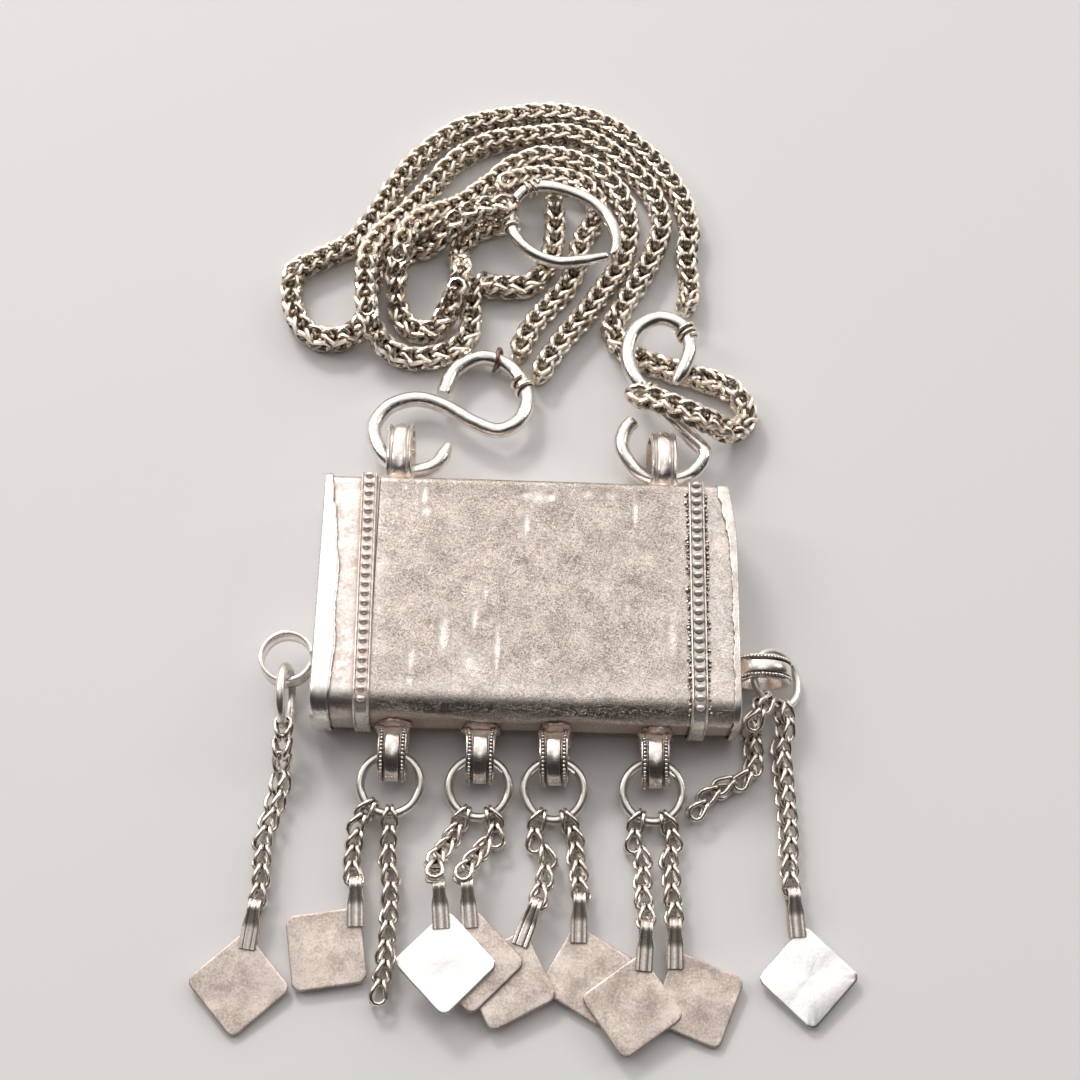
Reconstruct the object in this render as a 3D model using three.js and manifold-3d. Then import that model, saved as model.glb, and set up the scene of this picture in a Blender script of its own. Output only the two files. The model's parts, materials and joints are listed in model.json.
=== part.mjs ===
// Amulet box necklace in silver sheet and wire, laid flat as it rests on a table.
// Millimetres. +X runs along the box, +Y towards the neck chain, +Z out of the box's front.
// The pieces are drawn from the middle of the box's flat back, and the whole is then set so that
// the origin is the middle of the fixed band's underside, on which the box rests. The skill is in
// the loop-in-loop chains.

import * as THREE from "three";
import { mergeVertices } from "three/addons/utils/BufferGeometryUtils.js";
import Module from "manifold-3d";

const wasm = await Module();
wasm.setup();

// Running and seating gaps
const seatGap = 0.3;
const slipGap = 0.2;

// Box sheet metal
const boxLength = 76;
const boxHeight = 46;
const boxThick = 13;
const boxCorner = 4.5;
const sleeveWall = 0.8;
const capLength = 10.1;
const skirtWall = 0.45;
const neckWall = 0.5;
const neckOverlap = 1.2;
const endWall = 0.7;
const rimWidth = 3.2;
const rimWall = 0.35;
const rimGap = 0.25;

// Beaded bands
const bandWidth = 2.6;
const bandWall = 0.4;
const bandGap = 0.3;
const beadRadius = 0.8;
const beadPitch = 1.78;
const beadMargin = 3.2;
const leftBandInset = 8.5;
const rightBandInset = 7.4;

// Folded paper inside
const paperSize = [52, 32, 2.6];
const paperCorner = 1.5;
const paperLift = 0.15;

// Strap bails soldered to the box
const strapSheet = 0.75;
const ribRise = 0.35;
const ribShare = 0.42;
const topBail = { reach: 13.4, half: 4.8, width: 4.8 };
const bottomBail = { reach: 9.4, half: 4.1, width: 5 };
const sideBail = { reach: 9.9, half: 4.1, width: 4.4 };
const topBailInset = [13.4, 13.2];
const bottomBailShare = [-0.3066, -0.1026, 0.0724, 0.3079];
const rightBailRise = 12.1;
const bandBail = { radius: 4.9, wall: 0.7, width: 4, rise: 12, mouth: 0.22 };

// Round wire rings
const ringRadius = 5.3;
const ringWire = 0.83;
const sideRingWire = 0.75;

// Bent wire hooks
const hookWire = 1.5;
const hookSeat = 4.7;
const hookTipLength = 3.2;
const hookTipWire = 0.75;

// Loop-in-loop drop chains
const linkPitch = 3.3;
const linkFold = { at: 0.24, half: 1.05, eye: 0.3, thick: 1.05, open: true };
const linkSpread = { at: 0.62, half: 1.75, eye: 0.95, thick: 0.85, open: true };
const linkLoopEnd = { at: 0.9, half: 1.4, eye: 0.45, thick: 1.45, open: false };
const wireRound = 0.5;
const chainLift = 1.4;

// Square dangles and their folded straps
const plateSide = 12.8;
const plateThick = 0.7;
const plateCorner = 1.5;
const plateSlope = 0.075;
const plateLayer = 1.05;
const plateSlopeFrom = -34;
const eyeRadius = 1.45;
const foldSheet = 0.5;
const foldReach = 7;
const foldTaper = 3;
const foldNeck = 1;
const foldWidth = 2.9;

// Neck chain and its pile
const neckRadius = 2.3;
const drawnBailX = [-24.6, 24.8];
const betweenHooks = [1, 17];
const pileFade = [41, 72];
const claspWire = 1.15;
const claspLift = 5.4;
const spareLinkRadius = 2.3;
const spareLinkWire = 0.38;
const spareLinkAxis = [1, -0.28, 0];
const spareLinkPlace = [17.7, 31.1, 2.4];

const silver = (color, roughness) => new THREE.MeshStandardMaterial({ color, roughness, metalness: 1 });

// Solids and meshes
function solidOf(geometry) {
  const bare = new THREE.BufferGeometry();
  const loose = geometry.index ? geometry.toNonIndexed() : geometry;
  bare.setAttribute("position", loose.getAttribute("position"));
  const merged = mergeVertices(bare, 1e-4);
  return new wasm.Manifold(
    new wasm.Mesh({
      numProp: 3,
      vertProperties: merged.attributes.position.array,
      triVerts: new Uint32Array(merged.index.array),
    }),
  );
}

function geometryOf(solid) {
  const mesh = solid.getMesh();
  const geometry = new THREE.BufferGeometry();
  geometry.setAttribute("position", new THREE.BufferAttribute(mesh.vertProperties, 3));
  geometry.setIndex(new THREE.BufferAttribute(mesh.triVerts, 1));
  geometry.computeVertexNormals();
  return geometry;
}

const joined = (solids) => solids.reduce((sum, next) => sum.add(next));

const necklace = new THREE.Group();

function addPiece(name, geometry, material) {
  const mesh = new THREE.Mesh(geometry, material);
  mesh.name = name;
  necklace.add(mesh);
}

// Axes that turn a flat outline's own x, y and depth into three directions in space
function basis(xAxis, yAxis, zAxis, origin) {
  return new THREE.Matrix4().makeBasis(xAxis, yAxis, zAxis).setPosition(origin);
}

const X = new THREE.Vector3(1, 0, 0);
const Y = new THREE.Vector3(0, 1, 0);
const Z = new THREE.Vector3(0, 0, 1);

// Box section, grown outwards by one offset on every side
function boxOutline(grow, Kind = THREE.Shape) {
  const half = boxHeight / 2 + grow;
  const low = -grow;
  const high = boxThick + grow;
  const radius = boxCorner + grow;
  const outline = new Kind();
  outline.absarc(half - radius, low + radius, radius, -Math.PI / 2, 0);
  outline.absarc(half - radius, high - radius, radius, 0, Math.PI / 2);
  outline.absarc(-half + radius, high - radius, radius, Math.PI / 2, Math.PI);
  outline.absarc(-half + radius, low + radius, radius, Math.PI, Math.PI * 1.5);
  outline.closePath();
  return outline;
}

function boxPrism(shape, from, to) {
  const geometry = new THREE.ExtrudeGeometry(shape, {
    depth: to - from,
    bevelEnabled: false,
    curveSegments: 3,
  });
  return geometry.applyMatrix4(basis(Y, Z, X, new THREE.Vector3(from, 0, 0)));
}

function boxTube(outer, inner, from, to) {
  const shape = boxOutline(outer);
  shape.holes.push(boxOutline(inner, THREE.Path));
  return boxPrism(shape, from, to);
}

const leftEnd = -boxLength / 2;
const rightEnd = boxLength / 2;
const topWall = boxHeight / 2;
const topBailX = [leftEnd + topBailInset[0], rightEnd - topBailInset[1]];
const bottomBailX = bottomBailShare.map((share) => share * boxLength);
const fixedBandX = rightEnd - rightBandInset;
const capMouth = leftEnd + capLength;
const neckOuter = -skirtWall - slipGap;

// Box sleeve with a drawn-in neck that the cap slips over
const sleeveBody = solidOf(boxTube(0, -sleeveWall, capMouth + slipGap, rightEnd - endWall - seatGap));
const sleeveNeck = solidOf(
  boxTube(neckOuter, neckOuter - neckWall, leftEnd + endWall + 2 * seatGap, capMouth + slipGap + neckOverlap),
);
addPiece("box_sleeve", geometryOf(sleeveBody.add(sleeveNeck)), silver(0xc9c2b8, 0.4));
addPiece("cap_skirt", boxTube(0, -skirtWall, leftEnd + endWall + seatGap, capMouth), silver(0xcac3b9, 0.4));

// End plates, each a shallow tray whose rim laps the sheet beside it
function endPlate(name, end, inward) {
  const outer = [end, end + inward * rimWidth];
  const pocket = [end + inward * endWall, end + inward * (rimWidth + 1)];
  const block = solidOf(boxPrism(boxOutline(rimGap + rimWall), Math.min(...outer), Math.max(...outer)));
  const hollow = solidOf(boxPrism(boxOutline(rimGap), Math.min(...pocket), Math.max(...pocket)));
  addPiece(name, geometryOf(block.subtract(hollow)), silver(0xd4cec6, 0.35));
}
endPlate("cap_end_plate", leftEnd, 1);
endPlate("fixed_end_plate", rightEnd, -1);

// Bands round the box, with a row of beads across the front
function beadBand(name, x) {
  const shape = boxOutline(bandGap + bandWall);
  shape.holes.push(boxOutline(bandGap, THREE.Path));
  const parts = [solidOf(boxPrism(shape, x - bandWidth / 2, x + bandWidth / 2))];
  const span = boxHeight - 2 * beadMargin;
  const count = Math.floor(span / beadPitch) + 1;
  for (let i = 0; i < count; i++) {
    const bead = new THREE.SphereGeometry(beadRadius, 5, 3);
    const y = (i - (count - 1) / 2) * beadPitch;
    bead.translate(x, y, boxThick + bandGap + bandWall);
    parts.push(solidOf(bead));
  }
  const under = solidOf(boxPrism(boxOutline(bandGap), x - bandWidth, x + bandWidth));
  addPiece(name, geometryOf(joined(parts).subtract(under)), silver(0xcfc6ba, 0.38));
}
beadBand("cap_bead_band", leftEnd + leftBandInset);
beadBand("fixed_bead_band", fixedBandX);

// Folded paper that lies in the box
const paperShape = new THREE.Shape();
const [paperLong, paperWide, paperThick] = paperSize;
const paperTurn = (cx, cy, start) =>
  paperShape.absarc(cx, cy, paperCorner, start * Math.PI / 2, (start + 1) * Math.PI / 2);
paperTurn(paperLong / 2 - paperCorner, -paperWide / 2 + paperCorner, 3);
paperTurn(paperLong / 2 - paperCorner, paperWide / 2 - paperCorner, 0);
paperTurn(-paperLong / 2 + paperCorner, paperWide / 2 - paperCorner, 1);
paperTurn(-paperLong / 2 + paperCorner, -paperWide / 2 + paperCorner, 2);
const paper = new THREE.ExtrudeGeometry(paperShape, { depth: paperThick, bevelEnabled: false, curveSegments: 2 });
paper.translate(0, 0, neckWall - neckOuter + paperLift);
addPiece("prayer_paper", paper, new THREE.MeshStandardMaterial({ color: 0xb89c6c, roughness: 0.95 }));

// A strap bail: an oval loop of sheet with one raised rib, its foot flat against the wall
function strapLoop(bail, rise) {
  const long = (bail.reach - seatGap + 0.5) / 2;
  const centre = bail.reach - long;
  const steps = 12;
  const outer = [];
  const inner = [];
  for (let i = 0; i < steps; i++) {
    const angle = (i / steps) * 2 * Math.PI;
    const reach = centre + (long + rise) * Math.cos(angle);
    outer.push(new THREE.Vector2(Math.max(reach, seatGap), (bail.half + rise) * Math.sin(angle)));
    inner.push(
      new THREE.Vector2(
        centre + (long - strapSheet - 0.35) * Math.cos(angle),
        (bail.half - strapSheet) * Math.sin(angle),
      ),
    );
  }
  const shape = new THREE.Shape(outer);
  shape.holes.push(new THREE.Path(inner));
  return shape;
}

function strapBail(name, bail, outward, origin) {
  const across = new THREE.Vector3().crossVectors(outward, Z);
  const sweep = (rise, width) => {
    const geometry = new THREE.ExtrudeGeometry(strapLoop(bail, rise), { depth: width, bevelEnabled: false });
    geometry.translate(0, 0, -width / 2);
    return solidOf(geometry.applyMatrix4(basis(outward, Z, across, origin)));
  };
  const solid = sweep(0, bail.width).add(sweep(ribRise, bail.width * ribShare));
  addPiece(name, geometryOf(solid), silver(0xc4bbb0, 0.36));
}

const bailHeight = boxThick / 2;
const bottomBailHeight = 4.6;
topBailX.forEach((x, i) =>
  strapBail("top_bail_" + ["left", "right"][i], topBail, Y, new THREE.Vector3(x, topWall, bailHeight)),
);
const down = new THREE.Vector3(0, -1, 0);
bottomBailX.forEach((x, i) =>
  strapBail("bottom_bail_" + (i + 1), bottomBail, down, new THREE.Vector3(x, -topWall, bottomBailHeight)),
);
strapBail("side_bail_right", sideBail, X, new THREE.Vector3(rightEnd, rightBailRise - topWall, 5.3));

// The left side bail is a plain band bent to a circle, its mouth at the solder
const bandBailX = leftEnd - seatGap - bandBail.radius;
const bandShape = new THREE.Shape();
bandShape.absarc(0, 0, bandBail.radius, bandBail.mouth, 2 * Math.PI - bandBail.mouth);
bandShape.absarc(0, 0, bandBail.radius - bandBail.wall, 2 * Math.PI - bandBail.mouth, bandBail.mouth, true);
bandShape.closePath();
const bandLoop = new THREE.ExtrudeGeometry(bandShape, {
  depth: bandBail.width,
  bevelEnabled: false,
  curveSegments: 14,
});
const bandBailHeight = 5.6;
bandLoop.translate(bandBailX, bandBail.rise - topWall, bandBailHeight - bandBail.width / 2);
addPiece("side_bail_left", bandLoop, silver(0xd0c8bd, 0.34));

// Rings, each given by its centre, its normal and the wire it is bent from
const tilted = (axis, degrees) => Z.clone().applyAxisAngle(axis, (degrees * Math.PI) / 180);
const hangY = -topWall - 4.7;
const hangZ = 3.1;
const ringFall = Math.asin((hangZ - chainLift) / (2 * ringRadius));
const ringSlope = (ringFall * 180) / Math.PI;
const ringY = hangY - ringRadius * Math.cos(ringFall);
const ringZ = (hangZ + chainLift) / 2;
const rings = {
  ring_1: { centre: new THREE.Vector3(bottomBailX[0] - 0.3, ringY, ringZ + 0.8), normal: tilted(X, ringSlope), wire: ringWire },
  ring_2: { centre: new THREE.Vector3(bottomBailX[1] - 0.1, ringY, ringZ), normal: tilted(X, ringSlope), wire: ringWire },
  ring_3: { centre: new THREE.Vector3(bottomBailX[2], ringY - 0.2, ringZ), normal: tilted(X, ringSlope), wire: ringWire },
  ring_4: { centre: new THREE.Vector3(bottomBailX[3] - 0.3, ringY, ringZ), normal: tilted(X, ringSlope), wire: ringWire },
  ring_left: { centre: new THREE.Vector3(leftEnd - 4.9, 5 - topWall, 5.6), normal: tilted(Y, 85), wire: ringWire },
  ring_right: { centre: new THREE.Vector3(rightEnd + 7.7, 11.4 - topWall, 3.6), normal: tilted(Y, 33), wire: sideRingWire },
};

function ringFrame(ring) {
  const drop = down.clone().addScaledVector(ring.normal, -down.dot(ring.normal)).normalize();
  const across = new THREE.Vector3().crossVectors(ring.normal, drop).normalize();
  return { drop, across };
}

for (const [name, ring] of Object.entries(rings)) {
  const { drop, across } = ringFrame(ring);
  const torus = new THREE.TorusGeometry(ringRadius, ring.wire, 6, 15);
  torus.applyMatrix4(basis(drop, across, ring.normal, ring.centre));
  addPiece(name, torus, silver(0xd6cdc2, 0.28));
}

// A round wire or chain bent along a smooth open line
function wireAlong(points, radius, sides, steps) {
  const path = new THREE.CatmullRomCurve3(points, false, "centripetal");
  const round = new THREE.Shape();
  for (let i = 0; i < sides; i++) {
    const angle = (i / sides) * 2 * Math.PI;
    const point = [radius * Math.cos(angle), radius * Math.sin(angle)];
    if (i) round.lineTo(...point);
    else round.moveTo(...point);
  }
  round.closePath();
  return { path, geometry: new THREE.ExtrudeGeometry(round, { steps, extrudePath: path }) };
}

function tipSolid(path, at, radius) {
  const tangent = path.getTangent(at);
  if (at === 0) tangent.negate();
  const tip = new THREE.CylinderGeometry(hookTipWire, radius, hookTipLength, 8);
  tip.translate(0, hookTipLength / 2 - 0.2, 0);
  tip.applyQuaternion(new THREE.Quaternion().setFromUnitVectors(Y, tangent));
  const end = path.getPoint(at);
  tip.translate(end.x, end.y, end.z);
  return solidOf(tip);
}

// S hooks. Their lines are offsets from the bail's middle and the box wall
function sHook(name, bailX, rise, line, taperAt) {
  const seatY = 5;
  const points = line.map(
    ([x, y]) => new THREE.Vector3(bailX + x, topWall + y, hookSeat + rise * (y - seatY)),
  );
  const { path, geometry } = wireAlong(points, hookWire, 7, 28);
  const solid = solidOf(geometry).add(tipSolid(path, taperAt, hookWire));
  addPiece(name, geometryOf(solid), silver(0xd9d2c8, 0.22));
}
sHook(
  "hook_left",
  topBailX[0],
  -0.09,
  [
    [7.3, 22.6], [9.4, 28.3], [14.8, 31.7], [20.6, 29], [23.7, 22.2], [22, 16.8], [18.2, 14.7],
    [13.5, 16.3], [8.5, 19.4], [4.8, 21], [1.2, 21.3], [-3.3, 19.2], [-5.8, 14.3], [-3.4, 8.1],
    [1.6, 5], [6.6, 6.6], [8.8, 11.2],
  ],
  1,
);
sHook(
  "hook_right",
  topBailX[1],
  0.035,
  [
    [3.1, 25.6], [4.8, 28.9], [6.1, 33.5], [4.8, 37.8], [0.4, 39.8], [-4.3, 37.2], [-6.2, 32.2],
    [-5.2, 27.2], [-1.9, 22.6], [6.4, 13.5], [8.5, 10.8], [6.6, 6.8], [1.2, 4.6], [-4.1, 6],
    [-7.4, 11.4], [-6.6, 15.2], [-5.2, 17],
  ],
  0,
);

// A strand of loop-in-loop chain along a line. Each link starts as a narrow fold, spreads to a
// round loop with an open eye, and the next fold fills the eye's end. Up turns from one direction
// to another. A row across the strand has four corners above and the same four below.
function linkStrand(points, upStart, upEnd) {
  const line = new THREE.CatmullRomCurve3(points, false, "centripetal");
  line.arcLengthDivisions = 400;
  const count = Math.round(line.getLength() / linkPitch);
  const rows = [{ ...linkFold, at: 0, open: false }];
  for (let i = 0; i < count; i++) {
    [linkFold, linkSpread, linkLoopEnd].forEach((row) => rows.push({ ...row, at: (i + row.at) / count }));
  }
  rows.push({ ...linkFold, at: 1, open: false });
  const corners = rows.map(({ at, half, eye, thick }) => {
    const forward = line.getTangentAt(at);
    const up = upStart.clone().lerp(upEnd, at);
    const flat = up.addScaledVector(forward, -up.dot(forward)).normalize();
    const across = new THREE.Vector3().crossVectors(flat, forward);
    const edge = thick * wireRound;
    const profile = [[-half, edge], [-eye, thick], [eye, thick], [half, edge]];
    return [...profile, ...profile.map(([x, z]) => [x, -z])].map(([x, z]) =>
      line.getPointAt(at).addScaledVector(across, x).addScaledVector(flat, z),
    );
  });
  return skinWithEyes(corners, rows.map((row) => row.open));
}

// The closed skin of such a strand, with walls round each open eye and flat ends
function skinWithEyes(rows, open) {
  const below = 4;
  const index = [];
  const quad = (a, b, c, d) => index.push(a, b, c, a, c, d);
  const crossWall = (row, left, right, ahead) => {
    const [a, b, c, d] = [row + left + below, row + right + below, row + right, row + left];
    if (ahead) quad(a, b, c, d);
    else quad(a, d, c, b);
  };
  const sideWall = (a, b, corner, outward) => {
    const [low, high] = [corner + below, corner];
    if (outward) quad(a + low, a + high, b + high, b + low);
    else quad(a + low, b + low, b + high, a + high);
  };
  for (let i = 0; i < rows.length - 1; i++) {
    const a = i * 2 * below;
    const b = a + 2 * below;
    for (let strip = 0; strip < 3; strip++) {
      if (strip === 1 && open[i]) continue;
      quad(a + strip, b + strip, b + strip + 1, a + strip + 1);
      const low = strip + below;
      quad(a + low, a + low + 1, b + low + 1, b + low);
    }
    sideWall(a, b, 0, false);
    sideWall(a, b, 3, true);
    if (!open[i]) continue;
    sideWall(a, b, 1, true);
    sideWall(a, b, 2, false);
    if (!open[i - 1]) crossWall(a, 1, 2, true);
    if (!open[i + 1]) crossWall(b, 1, 2, false);
  }
  const last = (rows.length - 1) * 2 * below;
  for (let strip = 0; strip < 3; strip++) {
    crossWall(0, strip, strip + 1, false);
    crossWall(last, strip, strip + 1, true);
  }
  const geometry = new THREE.BufferGeometry().setFromPoints(rows.flat());
  geometry.setIndex(index);
  return geometry;
}

// Height of the tilted plane that a dangle of one layer lies in
const layerHeight = (layer, y) => chainLift + layer * plateLayer + plateSlope * (y - plateSlopeFrom);
const plateNormal = new THREE.Vector3(0, -plateSlope, 1).normalize();

// Drops: ring, angle of the first link round the ring, layer, route, eye and plate in plan,
// measured from the middle of its ring along the box and from the box's lower edge
const drops = [
  {
    chain: "chain_left", ring: "ring_left", angle: 0, layer: 0, number: 1,
    route: [[-0.1, -4, 3.4], [-0.2, -8.5, 1.5], [-1.1, -14.1, 1.35], [-2.3, -19, 1.35], [-2.2, -26, 1.35]],
    eye: [-2.9, -32.3], aim: [-0.12, -1], plate: [-4.7, -45.1, 42],
  },
  {
    chain: "chain_1_short", ring: "ring_1", angle: -38, layer: 0, number: 2,
    route: [[-5, -17.6, 1.7], [-5.8, -21, 1.4]],
    eye: [-5, -28], aim: [0.05, -1], plate: [-9.5, -38.9, 9.5],
  },
  {
    chain: "chain_1_long", ring: "ring_1", angle: 2, layer: 0, number: 0,
    route: [
      [0, -20, 1.4], [0.7, -24.3, 1.35], [0.9, -29.4, 1.35], [0.9, -37.8, 1.35],
      [0.3, -43, 1.35], [-0.2, -47.4, 1.35],
    ],
  },
  {
    chain: "chain_2_left", ring: "ring_2", angle: -26, layer: 3.7, number: 3,
    route: [[-4.4, -19.2, 1.7], [-6.4, -22.2, 3.4], [-6.6, -24.4, 5.1]],
    eye: [-6.2, -28.8], aim: [0.1, -1], plate: [-4.6, -41.4, 45],
  },
  {
    chain: "chain_2_right", ring: "ring_2", angle: 26, layer: 2, number: 4,
    route: [[1.9, -19.2, 1.5], [0.3, -21.8, 2.4], [-0.9, -24, 3.5]],
    eye: [-1.4, -28.2], aim: [0.1, -1], plate: [0, -40.7, 45],
  },
  {
    chain: "chain_3_left", ring: "ring_3", angle: -26, layer: 1, number: 5,
    route: [[-1.4, -20.4, 1.4], [-1.3, -24.2, 1.6], [-2, -27.5, 2.2]],
    eye: [-3.1, -31.1], aim: [-0.36, -1], plate: [-7.4, -43.6, 28],
  },
  {
    chain: "chain_3_right", ring: "ring_3", angle: 26, layer: 0, number: 6,
    route: [[3.7, -20.2, 1.3], [4.5, -24.2, 1.3]],
    eye: [4.7, -29.8], aim: [0, -1], plate: [6.4, -42.2, 60],
  },
  {
    chain: "chain_4_left", ring: "ring_4", angle: -26, layer: 1.65, number: 7,
    route: [[-2.3, -19.4, 1.3], [-1.9, -25, 1.4]],
    eye: [-1.4, -34.6], aim: [-0.06, -1], plate: [-3.7, -47.5, 36],
  },
  {
    chain: "chain_4_right", ring: "ring_4", angle: 26, layer: 0, number: 8,
    route: [[2.9, -19.2, 1.3], [3.2, -24.6, 1.3]],
    eye: [3.7, -33.8], aim: [0, -1], plate: [7.5, -45.8, 68.5],
  },
  {
    chain: "chain_right", ring: "ring_right", angle: 14, layer: 0, number: 9,
    route: [[1, 0.9, 1.5], [1.1, -6.8, 1.35], [1.5, -14.2, 1.35], [1.4, -21.4, 1.4]],
    eye: [1.9, -28], aim: [0.08, -1], plate: [4.2, -41.7, 48],
  },
  {
    chain: "chain_right_spare", ring: "ring_right", angle: -32, layer: 0, number: 0,
    route: [
      [-4.4, 2.7, 1.9], [-3.9, -1.4, 1.5], [-5.1, -5.2, 1.4], [-8.1, -7.4, 1.35],
      [-11.1, -9, 1.35], [-13.1, -11.4, 1.35], [-13.9, -14.6, 1.35],
    ],
  },
];

const dropPoint = (drop, x, y, z) => new THREE.Vector3(rings[drop.ring].centre.x + x, y - topWall, z);

// A dangle's own directions: along the strap, out of the plate, and across
function dangleFrame(drop) {
  const along = new THREE.Vector3(drop.aim[0], drop.aim[1], drop.aim[1] * plateSlope).normalize();
  const across = new THREE.Vector3().crossVectors(along, plateNormal).normalize();
  const eye = dropPoint(drop, ...drop.eye, layerHeight(drop.layer, drop.eye[1]));
  return { along, across, eye };
}

function foldOutline() {
  const outer = [];
  const inner = [];
  const steps = 4;
  for (let i = 0; i <= steps; i++) {
    const angle = Math.PI / 2 + (i / steps) * Math.PI;
    const reach = eyeRadius + foldSheet;
    outer.push(new THREE.Vector2(reach * Math.cos(angle), reach * Math.sin(angle)));
    inner.unshift(new THREE.Vector2(eyeRadius * Math.cos(angle), eyeRadius * Math.sin(angle)));
  }
  const grip = plateThick / 2 + seatGap;
  return new THREE.Shape([
    ...outer,
    new THREE.Vector2(foldTaper, -grip - foldSheet),
    new THREE.Vector2(foldReach, -grip - foldSheet),
    new THREE.Vector2(foldReach, -grip),
    new THREE.Vector2(foldTaper, -grip),
    ...inner,
    new THREE.Vector2(foldTaper, grip),
    new THREE.Vector2(foldReach, grip),
    new THREE.Vector2(foldReach, grip + foldSheet),
    new THREE.Vector2(foldTaper, grip + foldSheet),
  ]);
}

function legOutline(side) {
  const grip = plateThick / 2 + seatGap;
  const share = 1.1 / foldTaper;
  const start = eyeRadius + (grip - eyeRadius) * share;
  return new THREE.Shape([
    new THREE.Vector2(1.1, side * start),
    new THREE.Vector2(foldTaper, side * grip),
    new THREE.Vector2(foldReach, side * grip),
    new THREE.Vector2(foldReach, side * (grip + foldSheet)),
    new THREE.Vector2(foldTaper, side * (grip + foldSheet)),
    new THREE.Vector2(1.1, side * (start + foldSheet)),
  ]);
}

function strapGeometry(frame) {
  const sweep = (shape, width) => {
    const geometry = new THREE.ExtrudeGeometry(shape, { depth: width, bevelEnabled: false });
    return solidOf(geometry.translate(0, 0, -width / 2));
  };
  const fold = joined([sweep(foldOutline(), foldNeck), sweep(legOutline(1), foldWidth), sweep(legOutline(-1), foldWidth)]);
  return geometryOf(fold).applyMatrix4(basis(frame.along, plateNormal, frame.across, frame.eye));
}

function plateGeometry(drop) {
  const half = plateSide / 2 - plateCorner;
  const shape = new THREE.Shape();
  [[half, -half, 3], [half, half, 0], [-half, half, 1], [-half, -half, 2]].forEach(([x, y, turn]) =>
    shape.absarc(x, y, plateCorner, (turn * Math.PI) / 2, ((turn + 1) * Math.PI) / 2),
  );
  const geometry = new THREE.ExtrudeGeometry(shape, { depth: plateThick, bevelEnabled: false, curveSegments: 2 });
  geometry.translate(0, 0, -plateThick / 2);
  const [x, y, turn] = drop.plate;
  const plan = new THREE.Vector3(Math.cos((turn * Math.PI) / 180), Math.sin((turn * Math.PI) / 180), 0);
  const first = plan.clone().addScaledVector(plateNormal, -plan.dot(plateNormal)).normalize();
  const second = new THREE.Vector3().crossVectors(plateNormal, first);
  const centre = dropPoint(drop, x, y, layerHeight(drop.layer, y));
  return geometry.applyMatrix4(basis(first, second, plateNormal, centre));
}

for (const drop of drops) {
  const ring = rings[drop.ring];
  const frame = ringFrame(ring);
  const turn = (drop.angle * Math.PI) / 180;
  const radial = frame.drop.clone().multiplyScalar(Math.cos(turn)).addScaledVector(frame.across, Math.sin(turn));
  const start = ring.centre.clone().addScaledVector(radial, ringRadius + ring.wire + seatGap);
  const points = [start, start.clone().addScaledVector(radial, 2)];
  drop.route.forEach((point) => points.push(dropPoint(drop, ...point)));
  let upEnd = Z;
  if (drop.number) {
    const dangle = dangleFrame(drop);
    const stop = dangle.along.clone().multiplyScalar(-eyeRadius - foldSheet - seatGap);
    points.push(dangle.eye.clone().add(stop));
    upEnd = plateNormal;
    addPiece("strap_" + drop.number, strapGeometry(dangle), silver(0xb9b0a4, 0.42));
    addPiece("plate_" + drop.number, plateGeometry(drop), silver(0xc8c4be, 0.48));
  }
  addPiece(drop.chain, linkStrand(points, ring.normal, upEnd), silver(0xa99a86, 0.35));
}

// A point of the neck pile, drawn from the middle of the box's top edge. The pile follows the hook
// beside it along the box, fully up to the hooks' tops and less and less beyond them.
function pilePoint([x, y, z]) {
  const shifts = topBailX.map((at, i) => at - drawnBailX[i]);
  const side = THREE.MathUtils.smoothstep(x, ...betweenHooks);
  const hold = 1 - THREE.MathUtils.smoothstep(y, ...pileFade);
  return new THREE.Vector3(x + hold * THREE.MathUtils.lerp(...shifts, side), topWall + y, z);
}

// The clasp ring that the four strands of the neck chain end on, bent not quite closed
const claspLine = [
  [15.9, 55.6], [16.1, 58.8], [14.9, 62.9], [11.8, 66.8], [7.1, 69.3], [1.7, 70.6], [-2.6, 69.2], [-5.2, 65],
  [-5.1, 60.6], [-3.2, 56.8], [0.4, 53.7], [4.7, 52.4], [9.2, 52.9], [13.2, 54],
];
const claspRing = wireAlong(claspLine.map(([x, y]) => pilePoint([x, y, claspLift])), claspWire, 6, 24);
addPiece("clasp_ring", claspRing.geometry, silver(0xd2cabe, 0.3));

// A spare link left hanging round the left hook, where the inner strand starts
const spareLink = new THREE.TorusGeometry(spareLinkRadius, spareLinkWire, 5, 10);
spareLink.applyQuaternion(new THREE.Quaternion().setFromUnitVectors(Z, new THREE.Vector3(...spareLinkAxis).normalize()));
spareLink.translate(topBailX[0] + spareLinkPlace[0], topWall + spareLinkPlace[1], spareLinkPlace[2]);
addPiece("brown_link", spareLink, silver(0x6b4a35, 0.6));

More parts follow.
